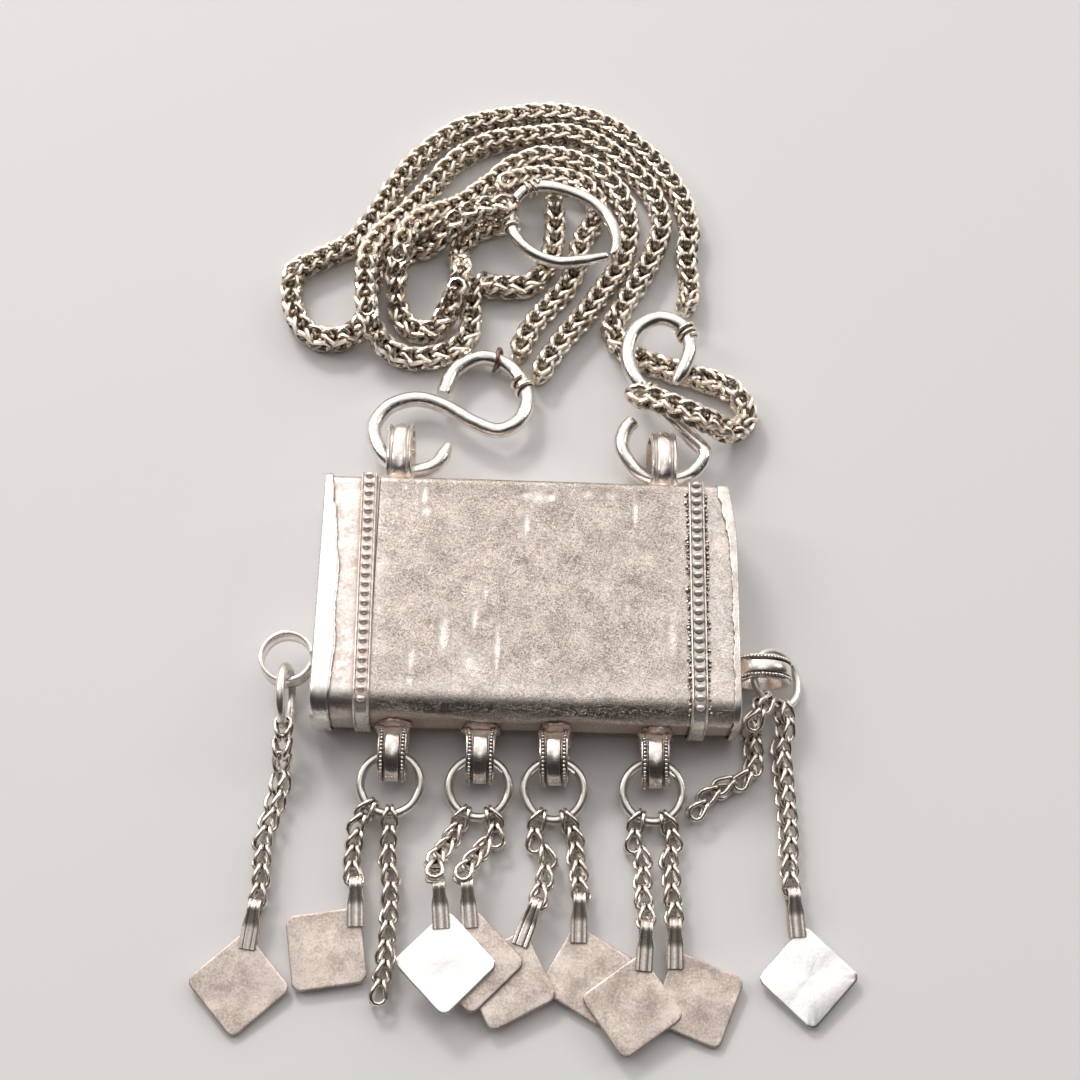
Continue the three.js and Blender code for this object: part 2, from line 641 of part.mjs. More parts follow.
// Neck chain strands as they lie in their pile, rising where one crosses another
const neckStrands = {
  neck_right_outer: {
    steps: 36,
    line: [
      [29.9, 43.3, 3.4], [31.3, 47.7, 1.7], [31, 57.7, 1.7], [31.6, 63, 1.7], [29.8, 71.4, 1.7], [25.6, 78.6, 1.7],
      [19.9, 84.8, 1.7], [12.4, 89.9, 1.7], [3.4, 91.6, 1.7], [-6, 90.2, 1.7], [-15.4, 87.2, 1.7],
      [-22.8, 81.2, 1.7], [-28.3, 73.5, 1.7], [-32.3, 65.7, 1.7], [-36.6, 58.5, 1.7], [-42.9, 54, 1.7],
      [-47.6, 50.8, 1.7], [-48.4, 43.3, 1.7], [-44.4, 36.4, 1.7], [-38.2, 35.6, 1.7], [-34, 39.6, 1.7],
      [-33.2, 46.2, 1.7], [-31.4, 52.2, 1.7], [-26, 56, 1.7], [-22.4, 57.4, 1.8], [-18.2, 59.6, 4.9], [-14.6, 61.8, 6.5], [-11, 63.6, 6.6],
      [-7.8, 64.4, 6.5],
    ],
  },
  neck_right_turn: {
    steps: 12,
    line: [
      [18.2, 20.8, 8.6], [22, 19.8, 9.6], [27.6, 17.9, 9.6], [33, 16.2, 8.4], [38.4, 16.2, 4], [41.8, 19.8, 1.8],
      [40.4, 25, 1.7], [37.2, 27.2, 1.7],
    ],
  },
  neck_right_inner: {
    steps: 42,
    line: [
      [36.7, 27.5, 1.7], [34, 28.5, 1.7], [27, 30.6, 1.7], [20, 33.6, 1.7], [16.3, 38.4, 1.7], [18, 44.4, 1.7],
      [21.4, 51.2, 1.7], [24.2, 57.6, 1.7], [25.8, 64, 1.7], [24.2, 71.4, 1.7], [20.2, 77.2, 1.7],
      [14.6, 82.6, 1.7], [7.4, 86, 1.7], [-1, 85.6, 1.7], [-9.4, 83.8, 1.7], [-16.4, 79.2, 1.7],
      [-21.8, 72.2, 1.7], [-26.6, 65.4, 1.7], [-30.8, 59, 4.2], [-33.2, 52.6, 6.6], [-33.6, 45, 6.6], [-32.8, 38.8, 6.5],
      [-30, 34, 3.6], [-25, 31.6, 1.9], [-17.2, 32.8, 1.7], [-13.2, 37, 1.7], [-12.6, 42.6, 1.7],
      [-12.2, 47.4, 1.7], [-7.6, 48.4, 1.7], [-2.4, 48.8, 1.7], [1.6, 52.4, 1.7], [3.4, 57.4, 1.7], [4, 62.4, 1.7],
      [3.8, 66.6, 1.7],
    ],
  },
  neck_left_outer: {
    steps: 34,
    line: [
      [0.7, 27.2, 1.7], [2.8, 31.4, 1.7], [6.2, 37, 1.7], [10.2, 42.4, 1.7], [14, 48.6, 1.7], [17.4, 54.6, 1.7],
      [19, 60.8, 1.7], [18.6, 67.4, 1.7], [15.4, 74.2, 1.7], [9.4, 78.8, 1.7], [2.2, 80.4, 1.7],
      [-4.4, 78, 1.7], [-9.8, 73, 1.7], [-15.6, 68, 1.7], [-20.8, 64.6, 3], [-24.8, 59.8, 6], [-26.8, 54, 6.6],
      [-27.6, 48.6, 4.6], [-27.4, 43.6, 1.9], [-25.2, 39, 1.7], [-21.4, 37.8, 1.7], [-18.2, 40.2, 2.8],
      [-15.4, 44.6, 6.4], [-14.8, 49.4, 5.8], [-15.4, 54.6, 1.9], [-14.6, 58.8, 1.7], [-11, 62.2, 1.7],
      [-7.6, 63.6, 1.7],
    ],
  },
  neck_left_inner: {
    steps: 18,
    line: [
      [-3.2, 31.8, 1.7], [-2, 35.6, 1.7], [0, 39.8, 1.7], [2.6, 43.6, 1.7], [6.2, 48.4, 1.7], [8.4, 53.6, 1.7],
      [9.4, 59.2, 1.7], [11.6, 64, 1.7], [12.4, 68.6, 1.7], [9.6, 73, 1.7], [4, 75.2, 1.7],
      [-1, 74.6, 2.6], [-4.6, 72.2, 4.4],
    ],
  },
};
for (const [name, strand] of Object.entries(neckStrands)) {
  const line = strand.line.map(pilePoint);
  addPiece(name, wireAlong(line, neckRadius, 6, strand.steps).geometry, silver(0xb8ab97, 0.36));
}

necklace.position.set(-fixedBandX, 0, bandGap + bandWall);

export default necklace;
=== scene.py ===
import json
import math
from math import cos, pi, radians, sin

import bmesh
import bpy
from mathutils import Matrix, Vector, noise

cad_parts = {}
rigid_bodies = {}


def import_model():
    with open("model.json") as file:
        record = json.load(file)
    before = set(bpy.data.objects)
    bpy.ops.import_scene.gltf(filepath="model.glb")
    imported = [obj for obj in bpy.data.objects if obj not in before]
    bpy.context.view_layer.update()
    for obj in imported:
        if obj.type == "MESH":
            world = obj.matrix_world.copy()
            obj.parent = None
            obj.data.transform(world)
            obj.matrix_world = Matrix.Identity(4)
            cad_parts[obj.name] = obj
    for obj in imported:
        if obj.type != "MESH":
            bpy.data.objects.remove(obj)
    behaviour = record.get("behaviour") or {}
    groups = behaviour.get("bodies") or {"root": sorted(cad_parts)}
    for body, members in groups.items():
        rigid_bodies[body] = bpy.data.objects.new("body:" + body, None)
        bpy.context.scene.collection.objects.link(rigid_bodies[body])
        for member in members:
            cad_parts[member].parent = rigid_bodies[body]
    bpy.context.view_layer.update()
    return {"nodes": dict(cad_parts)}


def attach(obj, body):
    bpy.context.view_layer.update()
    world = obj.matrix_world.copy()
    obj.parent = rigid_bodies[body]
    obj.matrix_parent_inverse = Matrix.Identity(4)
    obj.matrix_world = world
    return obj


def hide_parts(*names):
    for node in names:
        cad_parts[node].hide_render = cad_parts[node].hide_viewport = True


for thing in list(bpy.data.objects):
    bpy.data.objects.remove(thing)

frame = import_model()

# The camera looks down on the necklace from the side of the square dangles, a little off square.
# Lengths are in mm from the middle of the box's flat back. The frame's own origin is on the
# underside of the fixed band, where the box rests.
MM = 0.001
UP = Vector((0, 0, 1))
BACK_FROM_REST = Vector((-30.6, 0.0, 0.7))


def placed(point):
    return (Vector(point) + BACK_FROM_REST) * MM


def put(name, data):
    """A new object in the scene."""
    thing = bpy.data.objects.new(name, data)
    bpy.context.scene.collection.objects.link(thing)
    return thing


camera = put("camera", bpy.data.cameras.new("camera"))
camera.data.sensor_width = 36
camera.data.angle = radians(34)
camera.data.clip_start = 0.01
camera.data.clip_end = 10
camera.location = placed((-5.44, -120.09, 307.4))
camera.rotation_euler = (radians(23.932), radians(-1.883), radians(1.032))
bpy.context.scene.camera = camera
bpy.context.scene.view_settings.view_transform = "Standard"

# The table is a sheet of pale grey paper under one large soft lamp behind the box, two weak ones
# at the sides, and a pale room whose lowest part is darker, which the polished wire mirrors.
TABLE_GREY = (0.80, 0.785, 0.78)


def lamp(name, place, aim, size, watts, tint):
    light = bpy.data.lights.new(name, "AREA")
    light.shape = "RECTANGLE"
    light.size, light.size_y = size
    light.energy = watts
    light.color = tint
    holder = put(name, light)
    holder.location = place
    holder.rotation_euler = (Vector(aim) - Vector(place)).to_track_quat("-Z", "Y").to_euler()


middle = placed((0, 10, 0))
lamp("back_softbox", (-0.45, 0.85, 0.72), middle, (0.3, 0.2), 4.6, (1.0, 0.985, 0.965))
lamp("left_fill", (-0.95, 0.3, 0.72), middle, (0.25, 0.4), 1.9, (1.0, 0.97, 0.94))
lamp("right_fill", (0.95, 0.4, 0.62), middle, (0.2, 0.4), 1.3, (1.0, 0.98, 0.96))
lamp("card_over_dangles", (0.02, -0.03, 0.85), middle, (0.55, 0.35), 0.42, (1.0, 0.985, 0.97))


def feed(tree, node, *feeds, **named):
    """Gives a node's inputs their values, or links them to other nodes' outputs. None leaves one be."""
    for title, value in (*enumerate(feeds), *named.items()):
        socket = node.inputs[title.replace("_", " ") if isinstance(title, str) else title]
        if isinstance(value, bpy.types.NodeSocket):
            tree.links.new(value, socket)
        elif value is not None:
            socket.default_value = value
    return node


def new_node(tree, kind, *feeds, **named):
    """A new node. Names in lower case are its own settings, and all others are its inputs."""
    node = tree.nodes.new(kind)
    for title in [title for title in named if title.islower()]:
        setattr(node, title, named.pop(title))
    return feed(tree, node, *feeds, **named)


def figure(tree, operation, *feeds):
    """The result of a math node."""
    return new_node(tree, "ShaderNodeMath", *feeds, operation=operation).outputs[0]


def ramp(tree, share, *stops):
    """The colour at a share of the way along the stops, each a place and a colour, in their order."""
    node = new_node(tree, "ShaderNodeValToRGB", share)
    marks = node.color_ramp.elements
    marks[0].position, marks[1].position = stops[0][0], stops[-1][0]
    for place, _ in stops[1:-1]:
        marks.new(place)
    for mark, (_, colour) in zip(marks, stops):
        mark.color = (*colour, 1)
    return node.outputs["Color"]


def new_finish(name):
    """A new material, its node tree and its shader."""
    finish = bpy.data.materials.new(name)
    finish.use_nodes = True
    return finish, finish.node_tree, finish.node_tree.nodes["Principled BSDF"]


room = bpy.data.worlds.new("pale_room")
bpy.context.scene.world = room
room.use_nodes = True
sky = room.node_tree
# Bright overhead and behind the box, dark towards whoever looks at it
look = new_node(sky, "ShaderNodeTexCoord").outputs["Generated"]
lean = new_node(sky, "ShaderNodeVectorMath", look, (-0.07, 0.58, 0.36), operation="DOT_PRODUCT")
greys = [
    (place, (grey, grey * 0.985, grey * 0.97))
    for place, grey in ((0.35, 0.02), (0.5, 0.05), (0.62, 0.14), (0.74, 0.5))
]
glow = ramp(
    sky, figure(sky, "ADD", lean.outputs["Value"], 0.35),
    (0.0, (0.03, 0.028, 0.027)), *greys, (0.9, (1.0, 0.985, 0.965)),
)
feed(sky, sky.nodes["Background"], Color=glow, Strength=1.32)

bpy.ops.mesh.primitive_plane_add(size=6)
table = bpy.context.object
table.name = "table_paper"
paper_grey, paper_tree, paper_shader = new_finish("table_paper")
feed(paper_tree, paper_shader, Base_Color=(*TABLE_GREY, 1), Roughness=0.75, Specular_IOR_Level=0.2)
table.data.materials.append(paper_grey)
table.location = (0, 0, -0.00012)

# Neck chain: a double loop-in-loop chain, made of wire rings squeezed to long loops, folded
# double and threaded through each other, each set a quarter turn from the last. Two strands
# hang from each hook and lie in a loose pile, and all four end on the clasp ring.
NECK_PITCH = 1.65
NECK_WIRE = 0.5
# One quarter of a folded link: forward, out from the fold's middle, and half its width
NECK_LINK = [
    (0.0, 0.0, 0.34), (0.15, 1.05, 0.38), (0.7, 1.7, 0.55), (1.7, 1.72, 1.12), (2.7, 1.38, 1.55),
    (3.4, 0.98, 1.42), (3.9, 0.72, 0.8), (4.05, 0.62, 0.0),
]
# Strand: its body, its length in m, and its way. A point without a height lies on the table.
NECK_LIE = 1.7
NECK_STRANDS = {
    "neck_right_outer": ("box", 0.202, [
        (29.9, 43.3, 3.4), (31.3, 47.7), (31, 57.7), (31.6, 63), (29.8, 71.4), (25.6, 78.6),
        (19.9, 84.8), (12.4, 89.9), (3.4, 91.6), (-6, 90.2), (-15.4, 87.2), (-22.8, 81.2),
        (-28.3, 73.5), (-32.3, 65.7), (-36.6, 58.5), (-42.9, 54), (-47.6, 50.8), (-48.4, 43.3),
        (-44.4, 36.4), (-38.2, 35.6), (-34, 39.6), (-33.2, 46.2), (-31.4, 52.2), (-26, 56),
        (-22.4, 57.4, 1.8), (-18.2, 59.6, 4.9), (-14.6, 61.8, 6.5), (-11, 63.6, 6.6),
        (-7.8, 64.4, 6.5),
    ]),
    "neck_right_turn": ("hook_right", 0.04, [
        (18.2, 20.8, 8.6), (22, 19.8, 9.6), (27.6, 17.9, 9.6), (33, 16.2, 8.4), (38.4, 16.2, 4),
        (41.8, 19.8, 1.8), (40.4, 25), (37.2, 27.2),
    ]),
    "neck_right_inner": ("box", 0.221, [
        (36.7, 27.5), (34, 28.5), (27, 30.6), (20, 33.6), (16.3, 38.4), (18, 44.4), (21.4, 51.2),
        (24.2, 57.6), (25.8, 64), (24.2, 71.4), (20.2, 77.2), (14.6, 82.6), (7.4, 86), (-1, 85.6),
        (-9.4, 83.8), (-16.4, 79.2), (-21.8, 72.2), (-26.6, 65.4), (-30.8, 59, 4.2),
        (-33.2, 52.6, 6.6), (-33.6, 45, 6.6), (-32.8, 38.8, 6.5), (-30, 34, 3.6), (-25, 31.6, 1.9),
        (-17.2, 32.8), (-13.2, 37), (-12.6, 42.6), (-12.2, 47.4), (-7.6, 48.4), (-2.4, 48.8),
        (1.6, 52.4), (3.4, 57.4), (4, 62.4), (3.8, 66.6),
    ]),
    "neck_left_outer": ("box", 0.166, [
        (0.7, 27.2), (2.8, 31.4), (6.2, 37), (10.2, 42.4), (14, 48.6), (17.4, 54.6), (19, 60.8),
        (18.6, 67.4), (15.4, 74.2), (9.4, 78.8), (2.2, 80.4), (-4.4, 78), (-9.8, 73), (-15.6, 68),
        (-20.8, 64.6, 3), (-24.8, 59.8, 6), (-26.8, 54, 6.6), (-27.6, 48.6, 4.6), (-27.4, 43.6, 1.9),
        (-25.2, 39), (-21.4, 37.8), (-18.2, 40.2, 2.8), (-15.4, 44.6, 6.4), (-14.8, 49.4, 5.8),
        (-15.4, 54.6, 1.9), (-14.6, 58.8), (-11, 62.2), (-7.6, 63.6),
    ]),
    "neck_left_inner": ("box", 0.062, [
        (-3.2, 31.8), (-2, 35.6), (0, 39.8), (2.6, 43.6), (6.2, 48.4), (8.4, 53.6), (9.4, 59.2),
        (11.6, 64), (12.4, 68.6), (9.6, 73), (4, 75.2), (-1, 74.6, 2.6), (-4.6, 72.2, 4.4),
    ]),
}
TOP_EDGE = Vector((0, 23, 0))


def smooth_line(points, spacing=None, count=None):
    """Evenly spaced points on the smooth line through the given ones, in mm."""
    points = [Vector(p) for p in points]
    ends = [points[0] * 2 - points[1], *points, points[-1] * 2 - points[-2]]
    dense = [points[0]]
    for a, b, c, d in zip(ends, ends[1:], ends[2:], ends[3:]):
        knots = [0.0]
        for p, q in ((a, b), (b, c), (c, d)):
            knots.append(knots[-1] + max((q - p).length, 1e-4) ** 0.5)
        t0, t1, t2, t3 = knots
        for i in range(1, 13):
            t = t1 + (t2 - t1) * i / 12
            ab = a.lerp(b, (t - t0) / (t1 - t0))
            bc = b.lerp(c, (t - t1) / (t2 - t1))
            cd = c.lerp(d, (t - t2) / (t3 - t2))
            near, far = ab.lerp(bc, (t - t0) / (t2 - t0)), bc.lerp(cd, (t - t1) / (t3 - t1))
            dense.append(near.lerp(far, (t - t1) / (t2 - t1)))
    lengths = [0.0]
    for p, q in zip(dense, dense[1:]):
        lengths.append(lengths[-1] + (q - p).length)
    if count is None:
        count = max(2, round(lengths[-1] / spacing))
    even = []
    k = 0
    for i in range(count + 1):
        want = lengths[-1] * i / count
        while k < len(dense) - 2 and lengths[k + 1] < want:
            k += 1
        share = (want - lengths[k]) / max(lengths[k + 1] - lengths[k], 1e-9)
        even.append(dense[k].lerp(dense[k + 1], share))
    return even


def run_of(line):
    return sum((q - p).length for p, q in zip(line, line[1:]))


def loft(rows, closed=False, capped=True):
    """Points and faces of a skin over rings of points, each ring closed on itself."""
    size = len(rows[0])
    points = [p for row in rows for p in row]
    faces = []
    for r in range(len(rows) if closed else len(rows) - 1):
        low, high = r * size, (r + 1) % len(rows) * size
        for i in range(size):
            j = (i + 1) % size
            faces.append((low + i, low + j, high + j, high + i))
    if capped and not closed:
        for start, row in ((0, rows[0]), (len(points) - size, rows[-1])):
            points.append(sum(row, Vector()) / size)
            for i in range(size):
                faces.append((start + i, start + (i + 1) % size, len(points) - 1))
    return points, faces


def wire(line, radius, sides=10, closed=False):
    """A round wire along points in mm. The radius may be a function of the share run and the turn."""
    size = len(line)
    rows = []
    side = None
    for i, p in enumerate(line):
        ahead = line[(i + 1) % size] if closed or i + 1 < size else p
        behind = line[i - 1] if closed or i else p
        forward = (ahead - behind).normalized()
        if side is None:
            side = forward.orthogonal().normalized()
        side = (side - forward * side.dot(forward)).normalized()
        other = forward.cross(side)
        row = []
        for k in range(sides):
            turn = 2 * pi * k / sides
            thick = radius(i / (size - 1), turn) if callable(radius) else radius
            row.append(p + (side * cos(turn) + other * sin(turn)) * thick)
        rows.append(row)
    if closed:
        # The last ring is turned to meet the first
        first, last = rows[0], rows[-1]

        def gap(turn):
            return sum((last[(k + turn) % sides] - first[k]).length for k in range(sides))

        shift = min(range(sides), key=gap)
        for i, row in enumerate(rows):
            turn = shift * i / size
            low = math.floor(turn)
            rows[i] = [
                row[(k + low) % sides].lerp(row[(k + low + 1) % sides], turn - low) for k in range(sides)
            ]
    return loft(rows, closed=closed)


def joined(*shells):
    """Several skins as one."""
    points, faces = [], []
    for more_points, more_faces in shells:
        shift = len(points)
        points += more_points
        faces += [tuple(i + shift for i in face) for face in more_faces]
    return points, faces


def raw_mesh(name, shell, scaled=True):
    mesh = bpy.data.meshes.new(name)
    points, faces = shell
    mesh.from_pydata([placed(p) if scaled else Vector(p) * MM for p in points], [], faces)
    bm = bmesh.new()
    bm.from_mesh(mesh)
    bmesh.ops.remove_doubles(bm, verts=bm.verts, dist=2e-6)
    bmesh.ops.recalc_face_normals(bm, faces=bm.faces)
    bm.to_mesh(mesh)
    bm.free()
    mesh.shade_smooth()
    mesh.set_sharp_from_angle(angle=radians(50))
    return mesh


def forged(name, shape, finish, body, slot, *nodes):
    """A finished piece, from a mesh or a skin, that rides on a body and stands for CAD nodes."""
    mesh = raw_mesh(name, shape) if isinstance(shape, tuple) else shape
    piece = put(name, mesh)
    mesh.materials.clear()
    mesh.materials.append(finish)
    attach(piece, body)
    if nodes:
        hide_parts(*nodes)
    return piece


def link_shape(quarter, radius, sides, steps):
    """One folded wire loop, from a quarter of its line, mirrored to both legs and both sides."""
    loop = [(t, u, w) for t, u, w in quarter]
    loop += [(t, u, -w) for t, u, w in reversed(quarter[:-1])]
    loop += [(t, -u, -w) for t, u, w in quarter[1:]]
    loop += [(t, -u, w) for t, u, w in reversed(quarter[1:-1])]
    spots = [Vector((u, w, t)) for t, u, w in loop]
    wrapped = spots[-3:] + spots + spots[:3]
    fine = smooth_line(wrapped, count=len(wrapped) * 6)
    start = min(range(len(fine) // 3), key=lambda i: (fine[i] - spots[0]).length)
    stop = min(range(len(fine) // 2, len(fine)), key=lambda i: (fine[i] - spots[0]).length)
    ring = fine[start:stop]
    line = [ring[int(i * len(ring) / steps)] for i in range(steps)]
    return raw_mesh("link", wire(line, radius, sides, closed=True), scaled=False)


def repeating_tree():
    """Geometry nodes that set one shape along a line, with small differences by hand."""
    tree = bpy.data.node_groups.new("Shapes along a line", "GeometryNodeTree")
    sockets = {}
    for title, kind, value in (
        ("Line", "NodeSocketGeometry", None), ("Shape", "NodeSocketObject", None),
        ("Finish", "NodeSocketMaterial", None), ("Count", "NodeSocketInt", 10),
        ("Quarter turns", "NodeSocketInt", 0), ("Loose turn", "NodeSocketFloat", 0.0),
        ("Size spread", "NodeSocketFloat", 0.0), ("Scatter", "NodeSocketFloat", 0.0),
        ("Seed", "NodeSocketInt", 1),
    ):
        sockets[title] = tree.interface.new_socket(title, in_out="INPUT", socket_type=kind)
        if value is not None:
            sockets[title].default_value = value
    tree.interface.new_socket("Pieces", in_out="OUTPUT", socket_type="NodeSocketGeometry")

    def add(kind, *feeds, **named):
        return new_node(tree, kind, *feeds, **named)

    given = add("NodeGroupInput").outputs
    curve = add("GeometryNodeMeshToCurve", Mesh=given["Line"]).outputs["Curve"]
    even = add("GeometryNodeResampleCurve", Curve=curve, Count=given["Count"]).outputs["Curve"]
    spots = add("GeometryNodeCurveToPoints", mode="EVALUATED", Curve=even).outputs
    upward = add("GeometryNodeInputNamedAttribute", data_type="FLOAT_VECTOR", Name="up")
    lie = add(
        "FunctionNodeAxesToRotation", primary_axis="Z", secondary_axis="X",
        Primary_Axis=spots["Tangent"], Secondary_Axis=upward.outputs["Attribute"],
    )
    odd = figure(tree, "MODULO", add("GeometryNodeInputIndex").outputs[0], 2)
    quarter = figure(tree, "MULTIPLY", figure(tree, "MULTIPLY", odd, given["Quarter turns"]), pi / 2)
    back = figure(tree, "MULTIPLY", given["Loose turn"], -1)
    seed = given["Seed"]
    # A random value's first two inputs are the limits of a vector, its next two those of a number
    loose = add("FunctionNodeRandomValue", None, None, back, given["Loose turn"], Seed=seed).outputs[1]
    about_line = add("ShaderNodeCombineXYZ", Z=figure(tree, "ADD", quarter, loose)).outputs[0]
    tilt = add("FunctionNodeEulerToRotation", about_line).outputs[0]
    spin = add("FunctionNodeRotateRotation", lie.outputs[0], tilt, rotation_space="LOCAL").outputs[0]
    least, most = (figure(tree, way, 1, given["Size spread"]) for way in ("SUBTRACT", "ADD"))
    size = add("FunctionNodeRandomValue", None, None, least, most, Seed=seed).outputs[1]
    reach = add("ShaderNodeCombineXYZ", *[given["Scatter"]] * 3).outputs[0]
    reach_back = add("ShaderNodeVectorMath", reach, operation="SCALE", Scale=-1).outputs[0]
    strewn = add("FunctionNodeRandomValue", reach_back, reach, data_type="FLOAT_VECTOR", Seed=seed)
    shifted = add("GeometryNodeSetPosition", Geometry=spots["Points"], Offset=strewn.outputs[0])
    shape = add("GeometryNodeObjectInfo", Object=given["Shape"])
    copies = add(
        "GeometryNodeInstanceOnPoints", Points=shifted.outputs[0], Instance=shape.outputs["Geometry"],
        Rotation=spin, Scale=size,
    )
    real = add("GeometryNodeRealizeInstances", Geometry=copies.outputs["Instances"])
    coat = add("GeometryNodeSetMaterial", Geometry=real.outputs["Geometry"], Material=given["Finish"])
    add("NodeGroupOutput", Pieces=coat.outputs["Geometry"])
    return tree, {title: socket.identifier for title, socket in sockets.items()}


along_line, along_line_input = repeating_tree()


def repeated(name, line, ups, shape, finish, **values):
    """A plain mesh of one shape repeated along a line in mm."""
    mesh = bpy.data.meshes.new(name)
    mesh.from_pydata([placed(p) for p in line], [(i, i + 1) for i in range(len(line) - 1)], [])
    up = mesh.attributes.new("up", "FLOAT_VECTOR", "POINT")
    up.data.foreach_set("vector", [c for u in ups for c in u])
    holder, model = put(name + "_line", mesh), put(name + "_shape", shape)
    copier = holder.modifiers.new("copies", "NODES")
    copier.node_group = along_line
    copier[along_line_input["Shape"]] = model
    copier[along_line_input["Finish"]] = finish
    for title, value in values.items():
        copier[along_line_input[title.replace("_", " ")]] = value
    seen = bpy.context.evaluated_depsgraph_get()
    made = bpy.data.meshes.new_from_object(holder.evaluated_get(seen), depsgraph=seen)
    made.name = name
    made.shade_smooth()
    bpy.data.objects.remove(holder)
    bpy.data.objects.remove(model)
    return made


def worn_silver(
    name, bright, shade, patina, rough, cloud, grain, reach, bump,
    deep=1.0, scratch=0, solder=None, rub_and_glint=None, salt=0.45, metallic=1.0,
):
    """Silver with blotches, grain, scratches, tarnish in its recesses, solder stains, and worn bright spots,
    which on the sleeve's dents are painted highlight.
    """
    finish, tree, shader = new_finish(name)
    feed(tree, shader, Metallic=metallic)

    def add(kind, *feeds, **named):
        return new_node(tree, kind, *feeds, **named)

    def spots(width, detail, roughness):
        size = 1 / (width * MM)
        made = add("ShaderNodeTexNoise", Vector=place, Scale=size, Detail=detail, Roughness=roughness)
        return made.outputs["Fac"]

    def covered(under, over, share):
        mix = add("ShaderNodeMix", data_type="RGBA", A=under, B=(*over, 1), Factor=share)
        return mix.outputs["Result"]

    place = add("ShaderNodeTexCoord").outputs["Object"]
    blotch, speck = spots(cloud, 5, 0.6), spots(grain, 3, 0.75)
    blend = figure(tree, "MULTIPLY_ADD", speck, salt, figure(tree, "MULTIPLY", blotch, 1 - salt))
    skin = ramp(tree, blend, (0.40, shade), (0.58, bright))
    hidden = add("ShaderNodeAmbientOcclusion", samples=8, Distance=reach * MM).outputs["AO"]
    recess = add("ShaderNodeMapRange", hidden, From_Min=0.92, From_Max=0.35, To_Max=deep).outputs[0]
    patchy = add("ShaderNodeMapRange", speck, From_Min=0.3, From_Max=0.6, To_Min=0.55).outputs[0]
    uneven = figure(tree, "MULTIPLY", recess, patchy)
    skin = covered(skin, patina, uneven)
    # The worn-bright attribute carries real wear, and on the sleeve's dents painted highlight as well
    for mark, colour in (("rub_and_glint", rub_and_glint), ("solder", solder)):
        if not colour:
            continue
        spread = add("ShaderNodeAttribute", attribute_name=mark).outputs["Fac"]
        share = figure(tree, "MULTIPLY", spread, patchy)
        skin = covered(skin, colour, share)
        if mark == "solder":
            feed(tree, shader, Metallic=figure(tree, "MULTIPLY_ADD", share, -0.75, 1.0))
    dull = add("ShaderNodeMapRange", blend, From_Min=0.35, From_Max=0.65, To_Min=rough[1], To_Max=rough[0])
    relief, hairs = speck, None
    for number, turn in enumerate((0.6, -0.35, 1.35, -1.0) if scratch else ()):
        lay = add(
            "ShaderNodeMapping", place, vector_type="TEXTURE",
            Location=(number * 0.013, 0, 0), Rotation=(0, 0, turn), Scale=(1, 16, 1),
        )
        hair = add("ShaderNodeTexNoise", Vector=lay.outputs["Vector"], Scale=1100, Detail=1.5)
        line = figure(tree, "COMPARE", hair.outputs["Fac"], 0.44, 0.005)
        hairs = figure(tree, "MAXIMUM", hairs, line) if hairs else line
    if hairs:
        relief = figure(tree, "MULTIPLY_ADD", hairs, -scratch, relief)
        skin = covered(skin, (0.95, 0.90, 0.86), figure(tree, "MULTIPLY", hairs, scratch))
    press = add("ShaderNodeBump", Strength=bump, Distance=0.06 * MM, Height=relief)
    feed(
        tree, shader, Base_Color=skin, Normal=press.outputs["Normal"],
        Roughness=figure(tree, "MULTIPLY_ADD", uneven, 0.3, dull.outputs[0]),
    )
    return finish


neck_silver = worn_silver(
    "neck_chain_silver", bright=(1.0, 0.915, 0.80), shade=(0.88, 0.76, 0.63), patina=(0.085, 0.045, 0.02),
    rough=(0.2, 0.34), cloud=4, grain=0.5, reach=0.8, bump=0.3,
)
neck_link = link_shape(NECK_LINK, NECK_WIRE, sides=6, steps=22)
for strand, (body, length, route) in NECK_STRANDS.items():
    route = [Vector((*p, NECK_LIE)[:3]) + TOP_EDGE for p in route]
    line = smooth_line(route, spacing=NECK_PITCH)
    links = repeated(
        strand + "_links", line, [UP] * len(line), neck_link, neck_silver,
        Count=len(line), Quarter_turns=1, Loose_turn=0.07, Size_spread=0.04, Seed=7,
    )
    piece = forged(strand + "_links", links, neck_silver, body, "chain_silver", strand)

# Box sleeve: sheet silver planished round a stake into a flat tube with round edges. Its front
# sheet laps the underside in a wavy seam, and years of wear have left soft dents and scratches.
# A narrower neck is soldered inside its open end, and the cap slides over it.
BOX_HIGH, BOX_THICK, BOX_CORNER, SHARP_CORNER = 46, 13, 4.5, 1.3
CAP_MOUTH = -27.9
SLEEVE_END = 37.0
LEAN_FROM = 32
SLEEVE_SHEET = 0.8
